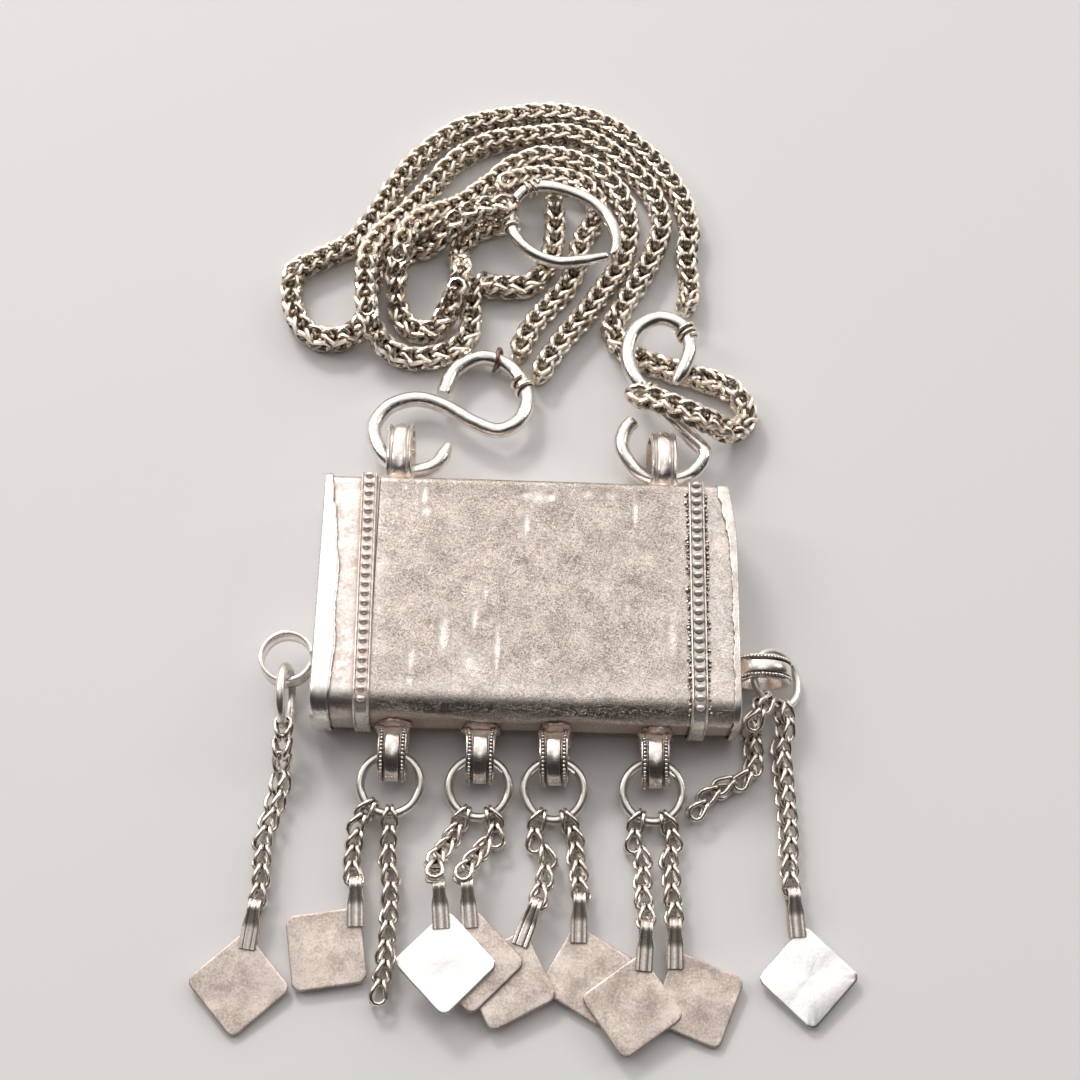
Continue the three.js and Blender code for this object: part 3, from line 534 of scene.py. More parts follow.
# Dents: place, depth, and half-widths along and up the box, in mm
SLEEVE_DENTS = [
    (-19.8, 19.3, 0.16, 0.45, 2.0), (-19.3, 16.3, 0.12, 0.7, 1.0), (-23.4, 21.0, 0.08, 0.6, 0.6),
    (1.2, 20.1, 0.13, 2.6, 1.2), (3.4, 19.8, 0.13, 0.8, 0.7), (-1.2, 19.9, 0.1, 0.8, 0.6),
    (-0.8, 14.4, 0.12, 0.45, 1.9), (-9.7, -4.3, 0.16, 0.55, 2.2), (-15.4, -7.2, 0.22, 0.8, 2.9),
    (-5.6, -9.7, 0.2, 0.45, 4.0), (-20.8, -12.3, 0.17, 0.65, 2.3), (-20.9, -16.6, 0.12, 0.6, 0.8),
    (-9.9, -13.1, 0.13, 2.2, 2.2), (-11.3, -11.2, 0.11, 1.2, 1.6), (-7.9, 0.2, 0.08, 0.3, 1.4),
    (19.1, 17.3, 0.18, 0.4, 2.6), (14.7, 20.6, 0.1, 0.9, 0.7), (10.5, 20.6, 0.1, 1.0, 0.8),
    (17.5, -2.0, 0.07, 0.5, 1.7), (25.6, -7.1, 0.15, 0.8, 3.6), (20.3, -14.3, 0.08, 0.5, 0.8),
    (8.0, 2.0, 0.1, 5.0, 4.0), (-12.0, 6.0, 0.08, 4.0, 5.0), (18.0, 8.0, 0.08, 3.0, 5.0),
]
# The seam: places along the box, and how far it lies round the lower front edge there, in degrees
SEAM_TURN = [
    (-27.9, 53), (-22.8, 49), (-16.1, 57), (-8.3, 77), (-0.4, 80), (8, 52), (16.6, 70), (23, 73), (37.5, 74),
]
HALF_HIGH, LOW_ARC, HIGH_ARC = BOX_HIGH / 2, BOX_THICK - BOX_CORNER, BOX_THICK - SHARP_CORNER
FLAT_HALF = HALF_HIGH - BOX_CORNER
# Once round the box from mid back: each leg's start, its end or first angle, its radius if it turns
SECTION_LEGS = [
    ((0, 0), (FLAT_HALF, 0), 0),
    ((FLAT_HALF, BOX_CORNER), -90, BOX_CORNER),
    ((HALF_HIGH, BOX_CORNER), (HALF_HIGH, HIGH_ARC), 0),
    ((HALF_HIGH - SHARP_CORNER, HIGH_ARC), 0, SHARP_CORNER),
    ((HALF_HIGH - SHARP_CORNER, BOX_THICK), (0, BOX_THICK), 0),
    ((0, BOX_THICK), (-FLAT_HALF, BOX_THICK), 0),
    ((-FLAT_HALF, LOW_ARC), 90, BOX_CORNER),
    ((-HALF_HIGH, LOW_ARC), (-HALF_HIGH, BOX_CORNER), 0),
    ((-FLAT_HALF, BOX_CORNER), 180, BOX_CORNER),
    ((-FLAT_HALF, 0), (0, 0), 0),
]


def leg_length(start, stop, radius):
    return radius * pi / 2 if radius else math.dist(start, stop)


SECTION_ROUND = sum(leg_length(*leg) for leg in SECTION_LEGS)
MID_FRONT = sum(leg_length(*leg) for leg in SECTION_LEGS[:5])


def section_spot(run):
    """Place and outward direction on the box's cross-section, that far round from mid back."""
    run %= SECTION_ROUND
    for start, stop, radius in SECTION_LEGS:
        length = leg_length(start, stop, radius)
        if run <= length:
            break
        run -= length
    if radius:
        angle = radians(stop + 90 * run / length)
        out = Vector((0, cos(angle), sin(angle)))
        return Vector((0, *start)) + out * radius, out
    ahead = (Vector(stop) - Vector(start)).normalized()
    spot = Vector(start) + ahead * run
    return Vector((0, *spot)), Vector((0, ahead.y, -ahead.x))


def box_rows(stations, count, lift=None):
    """Rings round the box, one for each station along it: (x, how far out from the section)."""
    rows = []
    for x, grow in stations:
        row = []
        for i in range(count):
            spot, out = section_spot(SECTION_ROUND * i / count)
            more = lift(x, spot, out) if lift else 0
            row.append(spot + out * (grow + more) + Vector((x, 0, 0)))
        rows.append(row)
    return rows


def ripple(*place):
    """Smooth noise between about -1 and 1."""
    return noise.noise(Vector(place))


def hammered(spot, coarse=9.0, depth=0.10):
    """Soft unevenness of sheet worked by hand, in mm."""
    return depth * (noise.noise(spot / coarse) + 0.45 * noise.noise(spot / (coarse * 0.38)))


def between(table, x):
    """A value read off a table of places and values, straight between them."""
    for (x0, v0), (x1, v1) in zip(table, table[1:]):
        if x <= x1:
            return v0 + (v1 - v0) * max(0, min(1, (x - x0) / (x1 - x0)))
    return table[-1][1]


def drawn_in(y):
    """How far the right end leans in towards its upper corner, in mm."""
    return 1.3 * max(0, (y - 11) / 12) ** 1.6


def dent_reach(x, y, wide, tall, dx, dy):
    return ((x - dx) / wide) ** 2 + ((y - dy) / tall) ** 2


def sleeve_skin():
    """The sheet in rings, with the points drawn together at the seam so that its lap is sharp."""
    steps, count, near, lap_fade = 200, 300, 12, 80
    lap, lip, most, lift_from = 0.34, 0.05, 0.2, 17.5
    seam_leg = MID_FRONT + BOX_HIGH / 2 - BOX_CORNER
    at_seam = round((seam_leg + radians(66) * BOX_CORNER) / SECTION_ROUND * count)
    low = (at_seam - near) / count * SECTION_ROUND
    high = (at_seam + 1 + near) / count * SECTION_ROUND
    rows = []
    for i in range(steps + 1):
        x = CAP_MOUTH + 0.2 + (SLEEVE_END - CAP_MOUTH - 0.2) * i / steps
        seam = seam_leg + radians(between(SEAM_TURN, x)) * BOX_CORNER + 0.25 * ripple(x, 0, 3)
        row = []
        for k in range(count):
            if at_seam - near < k <= at_seam:
                run = low + (seam - low) * (k - at_seam + near) / near
            elif at_seam < k < at_seam + 1 + near:
                run = seam + 0.05 + (high - seam) * (k - at_seam - 1) / near
            else:
                run = SECTION_ROUND * k / count
            spot, out = section_spot(run)
            spot.x = x - drawn_in(spot.y) * max(0, (x - LEAN_FROM) / (SLEEVE_END - LEAN_FROM))
            more = hammered(spot)
            if spot.z > 6 and spot.y > lift_from:
                more += 0.2 * ((spot.y - lift_from) / 5) ** 2
            if at_seam < k < at_seam + lap_fade:
                more -= lap * min(1, (at_seam + lap_fade - k) / 12)
            elif at_seam - 4 < k <= at_seam:
                more += lip * (k - at_seam + 4)
            for dx, dy, deep, wide, tall in SLEEVE_DENTS if out.z > 0.6 else ():
                away = dent_reach(x, spot.y, wide, tall, dx, dy)
                if away < 9:
                    more += deep * (0.3 * math.exp(-((away ** 0.5 - 1.6) ** 2) * 2) - 1.3 * math.exp(-away))
            row.append(spot + out * min(more, most))
        rows.append(row)
    inner = [SLEEVE_END - (SLEEVE_END - CAP_MOUTH - 0.2) * i / 8 for i in range(9)]
    return loft(rows + box_rows([(x, -SLEEVE_SHEET) for x in inner], count), closed=True)


# Once round the neck's section: place along the box, and how far out from the box's section
neck = [(-36.7, -0.65), (-30, -0.65), (-26.5, -0.65), (-26.5, -1.15), (-30, -1.15), (-36.7, -1.15)]
# Its colour for worn-bright spots also paints the highlights on the dents' slopes
sleeve_silver = worn_silver(
    "sleeve_silver", bright=(0.745, 0.65, 0.59), shade=(0.235, 0.19, 0.16), patina=(0.26, 0.18, 0.135),
    rough=(0.24, 0.42), cloud=4.6, grain=0.3, deep=0.7, reach=1.0, scratch=0.45, bump=0.8,
    rub_and_glint=(0.90, 0.83, 0.775), solder=(0.95, 0.76, 0.65), salt=0.72,
)
sleeve_mesh = raw_mesh("sleeve_sheet", joined(sleeve_skin(), loft(box_rows(neck, 96), closed=True)))
# How far each point is made bright (worn at the edges, mouth and seam, and painted highlight on the dents'
# slopes) and stained by the seam's solder
rubbed_and_glinting, under = [], []
for vertex in sleeve_mesh.vertices:
    at = (vertex.co / MM) - BACK_FROM_REST
    on_turn = at.y < -FLAT_HALF
    down = math.degrees(math.atan2(-(at.y + FLAT_HALF), at.z - LOW_ARC)) - between(SEAM_TURN, at.x)
    under.append(max(0, min(1, down / 3)) * 0.75 * on_turn)
    mouth_wear = 0.75 * math.exp((-27.7 - at.x) / 1.6)
    band_wear = 0.65 * math.exp(min(0, at.x - 29.3) / 1.8)
    edge_wear = 0.5 * math.exp(-((at.y + 17.6) / 2.4) ** 2)
    back_wear = 0.3 * (at.z < 7)
    seam_wear = math.exp(-((down + 2) / 4) ** 2) * on_turn
    bare_and_glint = max(mouth_wear, band_wear, edge_wear, back_wear, seam_wear)
    # The dents' bright slits are painted highlight: the glint their sloping sides catch from the light,
    # painted into the colour
    for dx, dy, deep, wide, tall in SLEEVE_DENTS:
        if wide < 2.8:
            away = dent_reach(at.x, at.y, wide, tall, dx, dy)
            bare_and_glint = max(bare_and_glint, min(1, deep * 9) * math.exp(-away * 0.8))
    rubbed_and_glinting.append(min(1, bare_and_glint) * (0.75 + 0.5 * noise.noise(at / 1.1)))
for title, shares in (("rub_and_glint", rubbed_and_glinting), ("solder", under)):
    sleeve_mesh.attributes.new(title, "FLOAT", "POINT").data.foreach_set("value", shares)
forged("sleeve_sheet", sleeve_mesh, sleeve_silver, "box", "box_silver", "box_sleeve")

# Folded paper: an old written slip, folded flat, that lies loose in the box. Its solid is the
# whole of it, so it keeps that shape and only gets a fibrous finish.
old_paper, paper_tree, paper_shader = new_finish("old_paper")
paper_place = new_node(paper_tree, "ShaderNodeTexCoord").outputs["Object"]
fibre = new_node(paper_tree, "ShaderNodeTexNoise", Vector=paper_place, Scale=700, Detail=8).outputs["Fac"]
paper_relief = new_node(paper_tree, "ShaderNodeBump", Strength=0.4, Distance=0.05 * MM, Height=fibre)
feed(
    paper_tree, paper_shader, Roughness=0.9, Normal=paper_relief.outputs["Normal"],
    Base_Color=ramp(paper_tree, fibre, (0.0, (0.34, 0.24, 0.12)), (1.0, (0.66, 0.54, 0.34))),
)
frame["nodes"]["prayer_paper"].data.materials.clear()
frame["nodes"]["prayer_paper"].data.materials.append(old_paper)

# Cap: a thin skirt bent to the sleeve's section, which slides over the neck. It has the same
# pinkish wear as the sleeve's edge, with a few creases near its corners.
CAP_SHEET = 0.45
SKIRT_END, SKIRT_LONG = -37.0, 9.1


def creased(x, spot, out):
    return hammered(Vector((x, spot.y, spot.z)), 5.0, 0.10) + 0.05 * ripple(x * 0.3, spot.y * 1.1, spot.z)


skirt_rows = box_rows([(SKIRT_END + SKIRT_LONG * i / 18, 0) for i in range(19)], 200, creased)
skirt_rows += box_rows([(x, -CAP_SHEET) for x in (CAP_MOUTH, -32, SKIRT_END)], 200)
cap_silver = worn_silver(
    "cap_silver", bright=(0.84, 0.775, 0.73), shade=(0.54, 0.465, 0.415), patina=(0.30, 0.19, 0.135),
    rough=(0.25, 0.42), cloud=3.5, grain=0.6, reach=1.8, scratch=0.3, bump=0.35,
)
forged("cap_sheet", loft(skirt_rows, closed=True), cap_silver, "cap", "cap_silver", "cap_skirt")

# End plates: each end is closed by a sheet whose rim is bent over the sheet beside it. The left
# rim is bright with a wavy lip, and the right one is duller and ragged, and leans in at its top.
END_AT = 38
# How far each rim reaches over the front and back, by the height up the box
LEFT_RIM = [(-23, 3.4), (-16.9, 3.6), (3.6, 3.4), (14, 2.7), (16.4, 2.5), (17.2, 1.9), (23, 1.7)]
RIGHT_RIM = [(-23, 1.4), (-16.6, 1.2), (3.6, 1.1), (12, 1.5), (17.7, 2.1), (23, 2.3)]


def end_plate(name, end, inward, rim, wave, ragged, finish, body, node):
    """A closed sheet in rings. The lip is where the rim ends, with its waves and its ragged edge."""
    count = 260
    rows = []
    # Each ring: how far in from the end as a share of the rim, how far out from the section, how far
    # it closes to the middle, and how much it follows the lip
    for reach, grow, share, lip in (
        (0.36, 0.25, 0.97, 0), (0.36, 0.25, 0.5, 0), (0.24, 0.25, 0, 0), (0.62, 0.25, 0, 0),
        (1, 0.27, 0, 1), (1.03, 0.42, 0, 1), (0.97, 0.57, 0, 1), (0.88, 0.6, 0, 0.9),
        (0.75, 0.55, 0, 0.6), (0.45, 0.53, 0, 0), (0.18, 0.5, 0, 0), (0.06, 0.38, 0, 0),
        *[(0, 0.1, share, 0) for share in (0, 0.08, 0.2, 0.4, 0.6, 0.8, 0.97)],
    ):
        row = []
        for i in range(count):
            spot, out = section_spot(SECTION_ROUND * i / count)
            here = Vector((end, spot.y, spot.z))
            wide = between(rim, spot.y) + lip * wave * ripple(spot.y / 5, spot.z / 5, end)
            wide += lip * ragged * ripple(spot.y * 1.1, spot.z * 1.1, end)
            high = min(grow, 0.55) if spot.z < 1 else grow + lip * 0.12 * noise.noise(here / 1.7)
            at = (spot + out * high).lerp(Vector((0, spot.y * 0.78, BOX_THICK / 2)), share)
            sunk = 0.3 * sin(share * pi / 2) + hammered(here + at, 7, 0.1) * min(1, share * 4)
            pull = drawn_in(spot.y) if end > 0 else 0
            row.append(at + Vector((end + inward * (reach * wide + max(0, sunk) + pull), 0, 0)))
        rows.append(row)
    forged(name, loft(rows), finish, body, "end_silver", node)


left_end_silver = worn_silver(
    "left_end_silver", bright=(0.94, 0.915, 0.885), shade=(0.80, 0.76, 0.72), patina=(0.30, 0.18, 0.12),
    rough=(0.2, 0.34), cloud=6, grain=0.9, reach=1.0, scratch=0.2, bump=0.2,
)
right_end_silver = worn_silver(
    "right_end_silver", bright=(0.90, 0.85, 0.81), shade=(0.64, 0.56, 0.50), patina=(0.20, 0.115, 0.07),
    rough=(0.24, 0.4), cloud=3.2, grain=0.55, reach=1.0, scratch=0.2, bump=0.4,
)
end_plate("cap_end", -END_AT, 1, LEFT_RIM, 0.45, 0.12, left_end_silver, "cap", "cap_end_plate")
end_plate("fixed_end", END_AT, -1, RIGHT_RIM, 0.2, 0.4, right_end_silver, "box", "fixed_end_plate")

# Bead bands: a flat strap with a fine wire along each edge goes round the box, and a row of
# half-round beads is soldered across its front. The right band is caught in lumpy solder.
BAND_HALF = 1.45
BEAD_PITCH = 1.78
BEADS = 25
TOP_BEAD, SOLDER_HALF = 20.4, 21.5


def round_lump(radii, rings=6, sides=10):
    """A ball squeezed to three half-widths in mm, for beads and solder grains."""
    wide, deep, high = radii
    rows = []
    for i in range(1, rings):
        tilt = pi * i / rings
        row = []
        for k in range(sides):
            turn = 2 * pi * k / sides
            x, y = wide * sin(tilt) * cos(turn), deep * sin(tilt) * sin(turn)
            row.append(Vector((x, y, -high * cos(tilt))))
        rows.append(row)
    points, faces = loft(rows)
    points[-2:] = Vector((0, 0, -high)), Vector((0, 0, high))
    return points, faces


def bead_band(name, x, lean, finish, body, node, bead, solder):
    """A strap with an edge wire on both sides, its beads, and solder grains if it has a finish for them."""
    # Across the strap: place from its middle, and how far it stands out
    profile = [
        (-BAND_HALF, 0.3), (-BAND_HALF, 0.7), (-1.36, 0.92), (-1.2, 0.98), (-1.05, 0.85), (-0.95, 0.66),
        (0.95, 0.66), (1.05, 0.85), (1.2, 0.98), (1.36, 0.92), (BAND_HALF, 0.7), (BAND_HALF, 0.3),
    ]
    height = {round(x + p, 4): g for p, g in profile}

    def flat_behind(at, spot, out):
        excess = max(0, height.get(round(at, 4), 0) - 0.7)
        wear = 0.05 * ripple(at, spot.y * 0.7, spot.z * 0.7)
        return wear - excess * (1 - max(0, min(1, (spot.z - 4) / 4))) - (0.06 if spot.z < 1 else 0)

    strap_rows = box_rows([(x + p, g) for p, g in profile], 240, flat_behind)
    strap_rows = [[p + Vector((lean * p.y, 0, 0)) for p in row] for row in strap_rows]
    forged(name + "_strap", loft(strap_rows, closed=True), finish, body, "bead_silver", node)
    line, ups = [], []
    for i in range(101):
        spot, out = section_spot(MID_FRONT + TOP_BEAD - (BEADS - 1) * BEAD_PITCH * i / 100)
        line.append(spot + out * 0.68 + Vector((x + lean * spot.y, 0, 0)))
        ups.append(out)
    shape = raw_mesh("bead", round_lump(bead), scaled=False)
    beads = repeated(name + "_beads", line, ups, shape, finish, Count=BEADS, Size_spread=0.05, Seed=3)
    forged(name + "_beads", beads, finish, body, "bead_silver")
    if not solder:
        return
    for side in (-1, 1):
        edge, ups = [], []
        for i in range(61):
            spot, out = section_spot(MID_FRONT + SOLDER_HALF - 2 * SOLDER_HALF * i / 60)
            edge.append(spot + out * 0.14 + Vector((x + side * (1.5 + 0.3 * noise.noise(spot / 4)), 0, 0)))
            ups.append(out)
        grain = raw_mesh("solder_grain", round_lump((0.3, 0.28, 0.3), 4, 6), scaled=False)
        lumps = repeated(
            name + "_solder", edge, ups, grain, solder, Count=230, Size_spread=0.6, Scatter=0.42 * MM,
            Seed=11 + side, Loose_turn=3.0,
        )
        forged(f"{name}_solder_{'left' if side < 0 else 'right'}", lumps, solder, body, "bead_silver")


# The beads are dulled by wear and dirt, so they mirror less than polished silver
BEAD_METALLIC = 0.65
left_band_silver = worn_silver(
    "left_band_silver", bright=(1.0, 0.945, 0.90), shade=(0.84, 0.75, 0.68), patina=(0.52, 0.37, 0.29),
    rough=(0.2, 0.36), cloud=3, grain=0.5, deep=0.85, reach=0.9, bump=0.3, metallic=BEAD_METALLIC,
)
right_band_silver = worn_silver(
    "right_band_silver", bright=(1.0, 0.965, 0.93), shade=(0.80, 0.72, 0.64), patina=(0.12, 0.07, 0.04),
    rough=(0.2, 0.38), cloud=2.4, grain=0.45, reach=1.4, bump=0.35, metallic=BEAD_METALLIC,
)
solder_grains = worn_silver(
    "solder_grains", bright=(0.88, 0.82, 0.76), shade=(0.60, 0.50, 0.42), patina=(0.12, 0.065, 0.035),
    rough=(0.2, 0.42), cloud=1.2, grain=0.35, reach=0.8, bump=0.5,
)
bead_band("left_band", -29.35, -0.02, left_band_silver, "cap", "cap_bead_band", (0.84, 0.87, 0.66), None)
bead_band(
    "right_band", 30.6, 0.0, right_band_silver, "box", "fixed_bead_band", (0.82, 0.88, 0.66), solder_grains,
)

# Bails: straps of sheet rolled to oval loops and soldered to the box, the top and bottom ones in a
# lumpy fillet. The two top ones have three broad ribs, and the bottom and right ones a polished
# middle strip between rows of beads. The left one is an open band.
BAIL_SHEET = 0.75
# Place along the box, and how far each is turned on it
TOP_BAILS = {"top_bail_left": (-24.6, -0.05), "top_bail_right": (24.8, 0.06)}
BOTTOM_BAILS = {
    "bottom_bail_1": (-23.3, 0.0), "bottom_bail_2": (-7.8, 0.0), "bottom_bail_3": (5.5, 0.1),
    "bottom_bail_4": (23.4, 0.08),
}
# Across each strap: share of its half-width, and how far it stands out in mm
RIBBED = [
    (-1, -0.1), (-0.98, 0.16), (-0.88, 0.34), (-0.76, 0.2), (-0.69, -0.16), (-0.57, -0.16), (-0.5, 0.12),
    (-0.36, 0.26), (-0.12, 0.36), (0.12, 0.36), (0.36, 0.26), (0.5, 0.12), (0.57, -0.16), (0.69, -0.16),
    (0.76, 0.2), (0.88, 0.34), (0.98, 0.16), (1, -0.1),
]
GRAINED = [
    (-1, -0.1), (-0.98, 0.1), (-0.9, 0.16), (-0.84, 0.04), (-0.64, 0.0), (-0.6, -0.2), (-0.52, -0.2),
    (-0.47, 0.3), (-0.43, 0.36), (0, 0.4), (0.43, 0.36), (0.47, 0.3), (0.52, -0.2), (0.6, -0.2),
    (0.64, 0.0), (0.84, 0.04), (0.9, 0.16), (0.98, 0.1), (1, -0.1),
]


def bail_strap(name, place, outward, reach, half, width, relief, slant=0.0, beads=None):
    """A strap's loop standing out from the box, in solder at its feet, with its rows of beads."""
    steps, bead_steps, foot_from, foot_run, sunk = 88, 60, 2.9, 1.7, -0.25
    outward = Vector(outward)
    across = Matrix.Rotation(slant, 3, outward) @ outward.cross(UP)
    upward = across.cross(outward)
    place = Vector(place)
    long = (reach + 0.2) / 2
    centre = reach - long
    rows, foot_shares = [], []

    def spot(angle, share, rise, inner):
        out = centre + (long - 1.1 if inner else long + rise) * cos(angle)
        up = (half - BAIL_SHEET if inner else half + rise) * sin(angle)
        at = place + outward * max(out, sunk) + upward * up
        foot = max(0, min(1, (foot_from - out) / foot_run))
        uneven = 0.03 * noise.noise(at / 2.5 + Vector((share, 0, 0)))
        at += across * share * width / 2 * (1 + 0.12 * foot + uneven)
        return at + upward * 0.06 * noise.noise(at / 1.9), foot

    for i in range(steps):
        angle = 2 * pi * i / steps
        row = []
        for share, rise in relief:
            at, foot = spot(angle, share, 0, False)
            lump = 0.2 + 0.34 * noise.noise(at / 0.8)
            rise = rise * (1 - foot) + foot * lump + 0.03 * noise.noise(at / 0.7)
            row.append(spot(angle, share, rise, False)[0])
            foot_shares.append(foot)
        for share in (0.97, 0.33, -0.33, -0.97):
            at, foot = spot(angle, share, 0, True)
            row.append(at)
            foot_shares.append(foot)
        rows.append(row)
    mesh = raw_mesh(name + "_sheet", loft(rows, closed=True))
    stain = mesh.attributes.new("solder", "FLOAT", "POINT")
    stain.data.foreach_set("value", foot_shares[:len(mesh.vertices)])
    forged(name + "_sheet", mesh, bail_silver, "box", "bail_silver", name)
    if not beads:
        return
    shape = raw_mesh("grain", round_lump((beads, beads * 0.95, beads * 0.92), 6, 10), scaled=False)
    for side in (-1, 1):
        line, ups = [], []
        for i in range(bead_steps + 1):
            angle = radians(-138 + 276 * i / bead_steps)
            line.append(spot(angle, side * 0.75, 0.22, False)[0])
            ups.append(outward * cos(angle) * half + upward * sin(angle) * long)
        run = run_of(line)
        grains = repeated(
            name, line, ups, shape, bail_silver, Count=round(run / (beads * 1.86)), Size_spread=0.12,
            Scatter=0.03 * MM, Seed=5,
        )
        forged(f"{name}_beads_{'left' if side < 0 else 'right'}", grains, bail_silver, "box", "bail_silver")


def solder_foot(name, place, outward, wide, high):
    """The lumpy fillet of solder that holds a bail's foot to the box."""
    rings, sides, swollen, sunk = 18, 36, 1.1, -0.3
    place, outward = Vector(place), Vector(outward)
    across = outward.cross(UP)
    rows = []
    for i in range(1, rings):
        tilt = pi * i / rings
        row = []
        for k in range(sides):
            turn = 2 * pi * k / sides
            side, up, out = sin(tilt) * cos(turn) * wide, -cos(tilt) * high, sin(tilt) * sin(turn)
            at = place + across * side + Vector((0, 0, up)) + outward * out
            swell = 1 + 0.3 * noise.noise(at / 0.9) + 0.25 * noise.noise(at / 2.2)
            lump = across * side * swell + outward * max(out * swollen * swell, sunk)
            row.append(place + lump + Vector((0, 0, up * (0.6 + 0.4 * swell))))
        rows.append(row)
    forged(name + "_solder", loft(rows), bail_solder, "box", "bail_silver")


bail_solder = worn_silver(
    "bail_solder", bright=(0.97, 0.84, 0.75), shade=(0.72, 0.55, 0.46), patina=(0.30, 0.19, 0.14),
    rough=(0.24, 0.42), cloud=1.6, grain=0.4, deep=0.8, reach=0.5, bump=0.5, metallic=0.35,
)
bail_silver = worn_silver(
    "bail_silver", bright=(0.93, 0.885, 0.85), shade=(0.72, 0.64, 0.58), patina=(0.15, 0.08, 0.05),
    rough=(0.16, 0.34), cloud=2.4, grain=0.45, reach=0.9, bump=0.3, solder=(0.98, 0.82, 0.72),
)
for name, (x, slant) in TOP_BAILS.items():
    bail_strap(name, (x, 23, 6.5), (0, 1, 0), 13.4, 4.8, 4.8, RIBBED, slant)
    solder_foot(name, (x, 23, 6.5), (0, 1, 0), 3.0, 5.4)
for name, (x, slant) in BOTTOM_BAILS.items():
    bail_strap(name, (x, -23, 4.6), (0, -1, 0), 9.4, 4.1, 5.0, GRAINED, slant, beads=0.36)
    solder_foot(name, (x, -23, 4.8), (0, -1, 0), 3.1, 4.7)
bail_strap("side_bail_right", (38, -10.9, 5.3), (1, 0, 0), 9.9, 4.1, 4.4, GRAINED, beads=0.33)
band, gap_half, band_steps = [], 0.22, 80
for i in range(band_steps + 1):
    angle = gap_half + (2 * pi - 2 * gap_half) * i / band_steps
    out = Vector((cos(angle), sin(angle), 0))
    wobble = 0.06 * noise.noise(out * 2)
    row = []
    for radius, high in (
        (4.2, -1.9), (4.3, -2.0), (4.8, -2.0), (4.9, -1.9), (4.86, -0.6), (4.86, 0.6), (4.9, 1.9),
        (4.8, 2.0), (4.3, 2.0), (4.2, 1.9),
    ):
        row.append(Vector((-43.2, -11, 5.6)) + out * (radius + wobble) + Vector((0, 0, high)))
    band.append(row)
forged("side_bail_left_sheet", loft(band), bail_silver, "cap", "bail_silver", "side_bail_left")

# Rings: round silver wire bent to rings and closed, one through each lower bail and each side
# bail. The right one is thinner, and its cut ends stand a little apart.
RING_RADIUS = 5.3
RING_STEPS = 96
# Ring: its middle, how it is tipped about x and y in degrees, and half its wire's thickness
RINGS = {
    "ring_1": ((-23.6, -32.93, 3.05), (9.23, 0), 0.83), "ring_2": ((-7.9, -32.93, 2.25), (9.23, 0), 0.83),
    "ring_3": ((5.5, -33.13, 2.25), (9.23, 0), 0.83), "ring_4": ((23.1, -32.93, 2.25), (9.23, 0), 0.83),
    "ring_left": ((-42.9, -18, 5.6), (0, 85), 0.83), "ring_right": ((45.7, -11.6, 3.6), (0, 33), 0.75),
}


def ring_lie(name):
    """Centre, normal, the direction it hangs in and the direction across, of one ring."""
    centre, tilts, wire_half = RINGS[name]
    about_x, about_y = (radians(tilt) for tilt in tilts)
    normal = Vector((sin(about_y), -sin(about_x), cos(max(about_x, about_y))))
    hang = Vector((0, -1, 0))
    hang = (hang - normal * hang.dot(normal)).normalized()
    return Vector(centre), normal, hang, normal.cross(hang).normalized(), wire_half


ring_silver = worn_silver(
    "ring_silver", bright=(0.94, 0.90, 0.86), shade=(0.82, 0.76, 0.70), patina=(0.30, 0.20, 0.14),
    rough=(0.24, 0.4), cloud=4, grain=0.6, deep=0.9, reach=0.7, bump=0.3,
)
for name in RINGS:
    centre, normal, hang, aside, wire_half = ring_lie(name)
    opened = 0.07 if name == "ring_right" else 0.0
    line = []
    for i in range(RING_STEPS + (opened > 0)):
        angle = 2.4 + opened + (2 * pi - 2 * opened) * i / RING_STEPS
        round_by = RING_RADIUS + 0.07 * ripple(cos(angle) * 1.3, sin(angle) * 1.3, centre.x)
        line.append(centre + (hang * cos(angle) + aside * sin(angle)) * round_by)
    ring = wire(line, wire_half, 16, closed=not opened)
    forged(name + "_wire", ring, ring_silver, name, "ring_silver", name)

# Hooks: thick silver wire forged round and bent to a figure like an S. One end is drawn to a
# blunt taper and the other is cut off. The eyes swing in the top bails.
HOOK_WIRE = 1.5
HOOK_LENGTH = 110
STEPS_A_TURN = 18
# Hook: the middle of its bail, how it rises along its length, and its way from there
HOOKS = {
    "hook_left": (-24.6, -0.09, [
        (7.3, 22.6), (9.4, 28.3), (14.8, 31.7), (20.6, 29), (23.7, 22.2), (22, 16.8), (18.2, 14.7),
        (13.5, 16.3), (8.5, 19.4), (4.8, 21), (1.2, 21.3), (-3.3, 19.2), (-5.8, 14.3), (-3.4, 8.1),
        (1.6, 5), (6.6, 6.6), (8.8, 11.2),
    ]),
    "hook_right": (24.8, 0.035, [
        (3.1, 25.6), (4.8, 28.9), (6.1, 33.5), (4.8, 37.8), (0.4, 39.8), (-4.3, 37.2), (-6.2, 32.2),
        (-5.2, 27.2), (-1.9, 22.6), (6.4, 13.5), (8.5, 10.8), (6.6, 6.8), (1.2, 4.6), (-4.1, 6),
        (-7.4, 11.4), (-6.6, 15.2), (-5.2, 17),
    ]),
}


def hook_line(name, count):
    x, rise, points = HOOKS[name]
    return smooth_line([(x + px, 23 + py, 4.7 + rise * (py - 5)) for px, py in points], count=count)


def lashing(line, at, turns, stretch, hold, gauge, wave, seed):
    """Wire wound round a thicker wire at one place, in mm."""
    middle = round(at * (len(line) - 1))
    forward = (line[middle + 1] - line[middle - 1]).normalized()
    side = (UP - forward * forward.z).normalized()
    other = forward.cross(side)
    coil = []
    steps = round(turns * STEPS_A_TURN)
    for i in range(steps + 1):
        angle = 2 * pi * turns * i / steps
        off = hold + gauge + wave * ripple(i * 0.13, seed, 0)
        along = stretch * (i / steps - 0.5) + wave * 0.8 * ripple(i * 0.11, seed, 5)
        coil.append(line[middle] + forward * along + (side * cos(angle) + other * sin(angle)) * off)
    return wire(coil, gauge, 8)


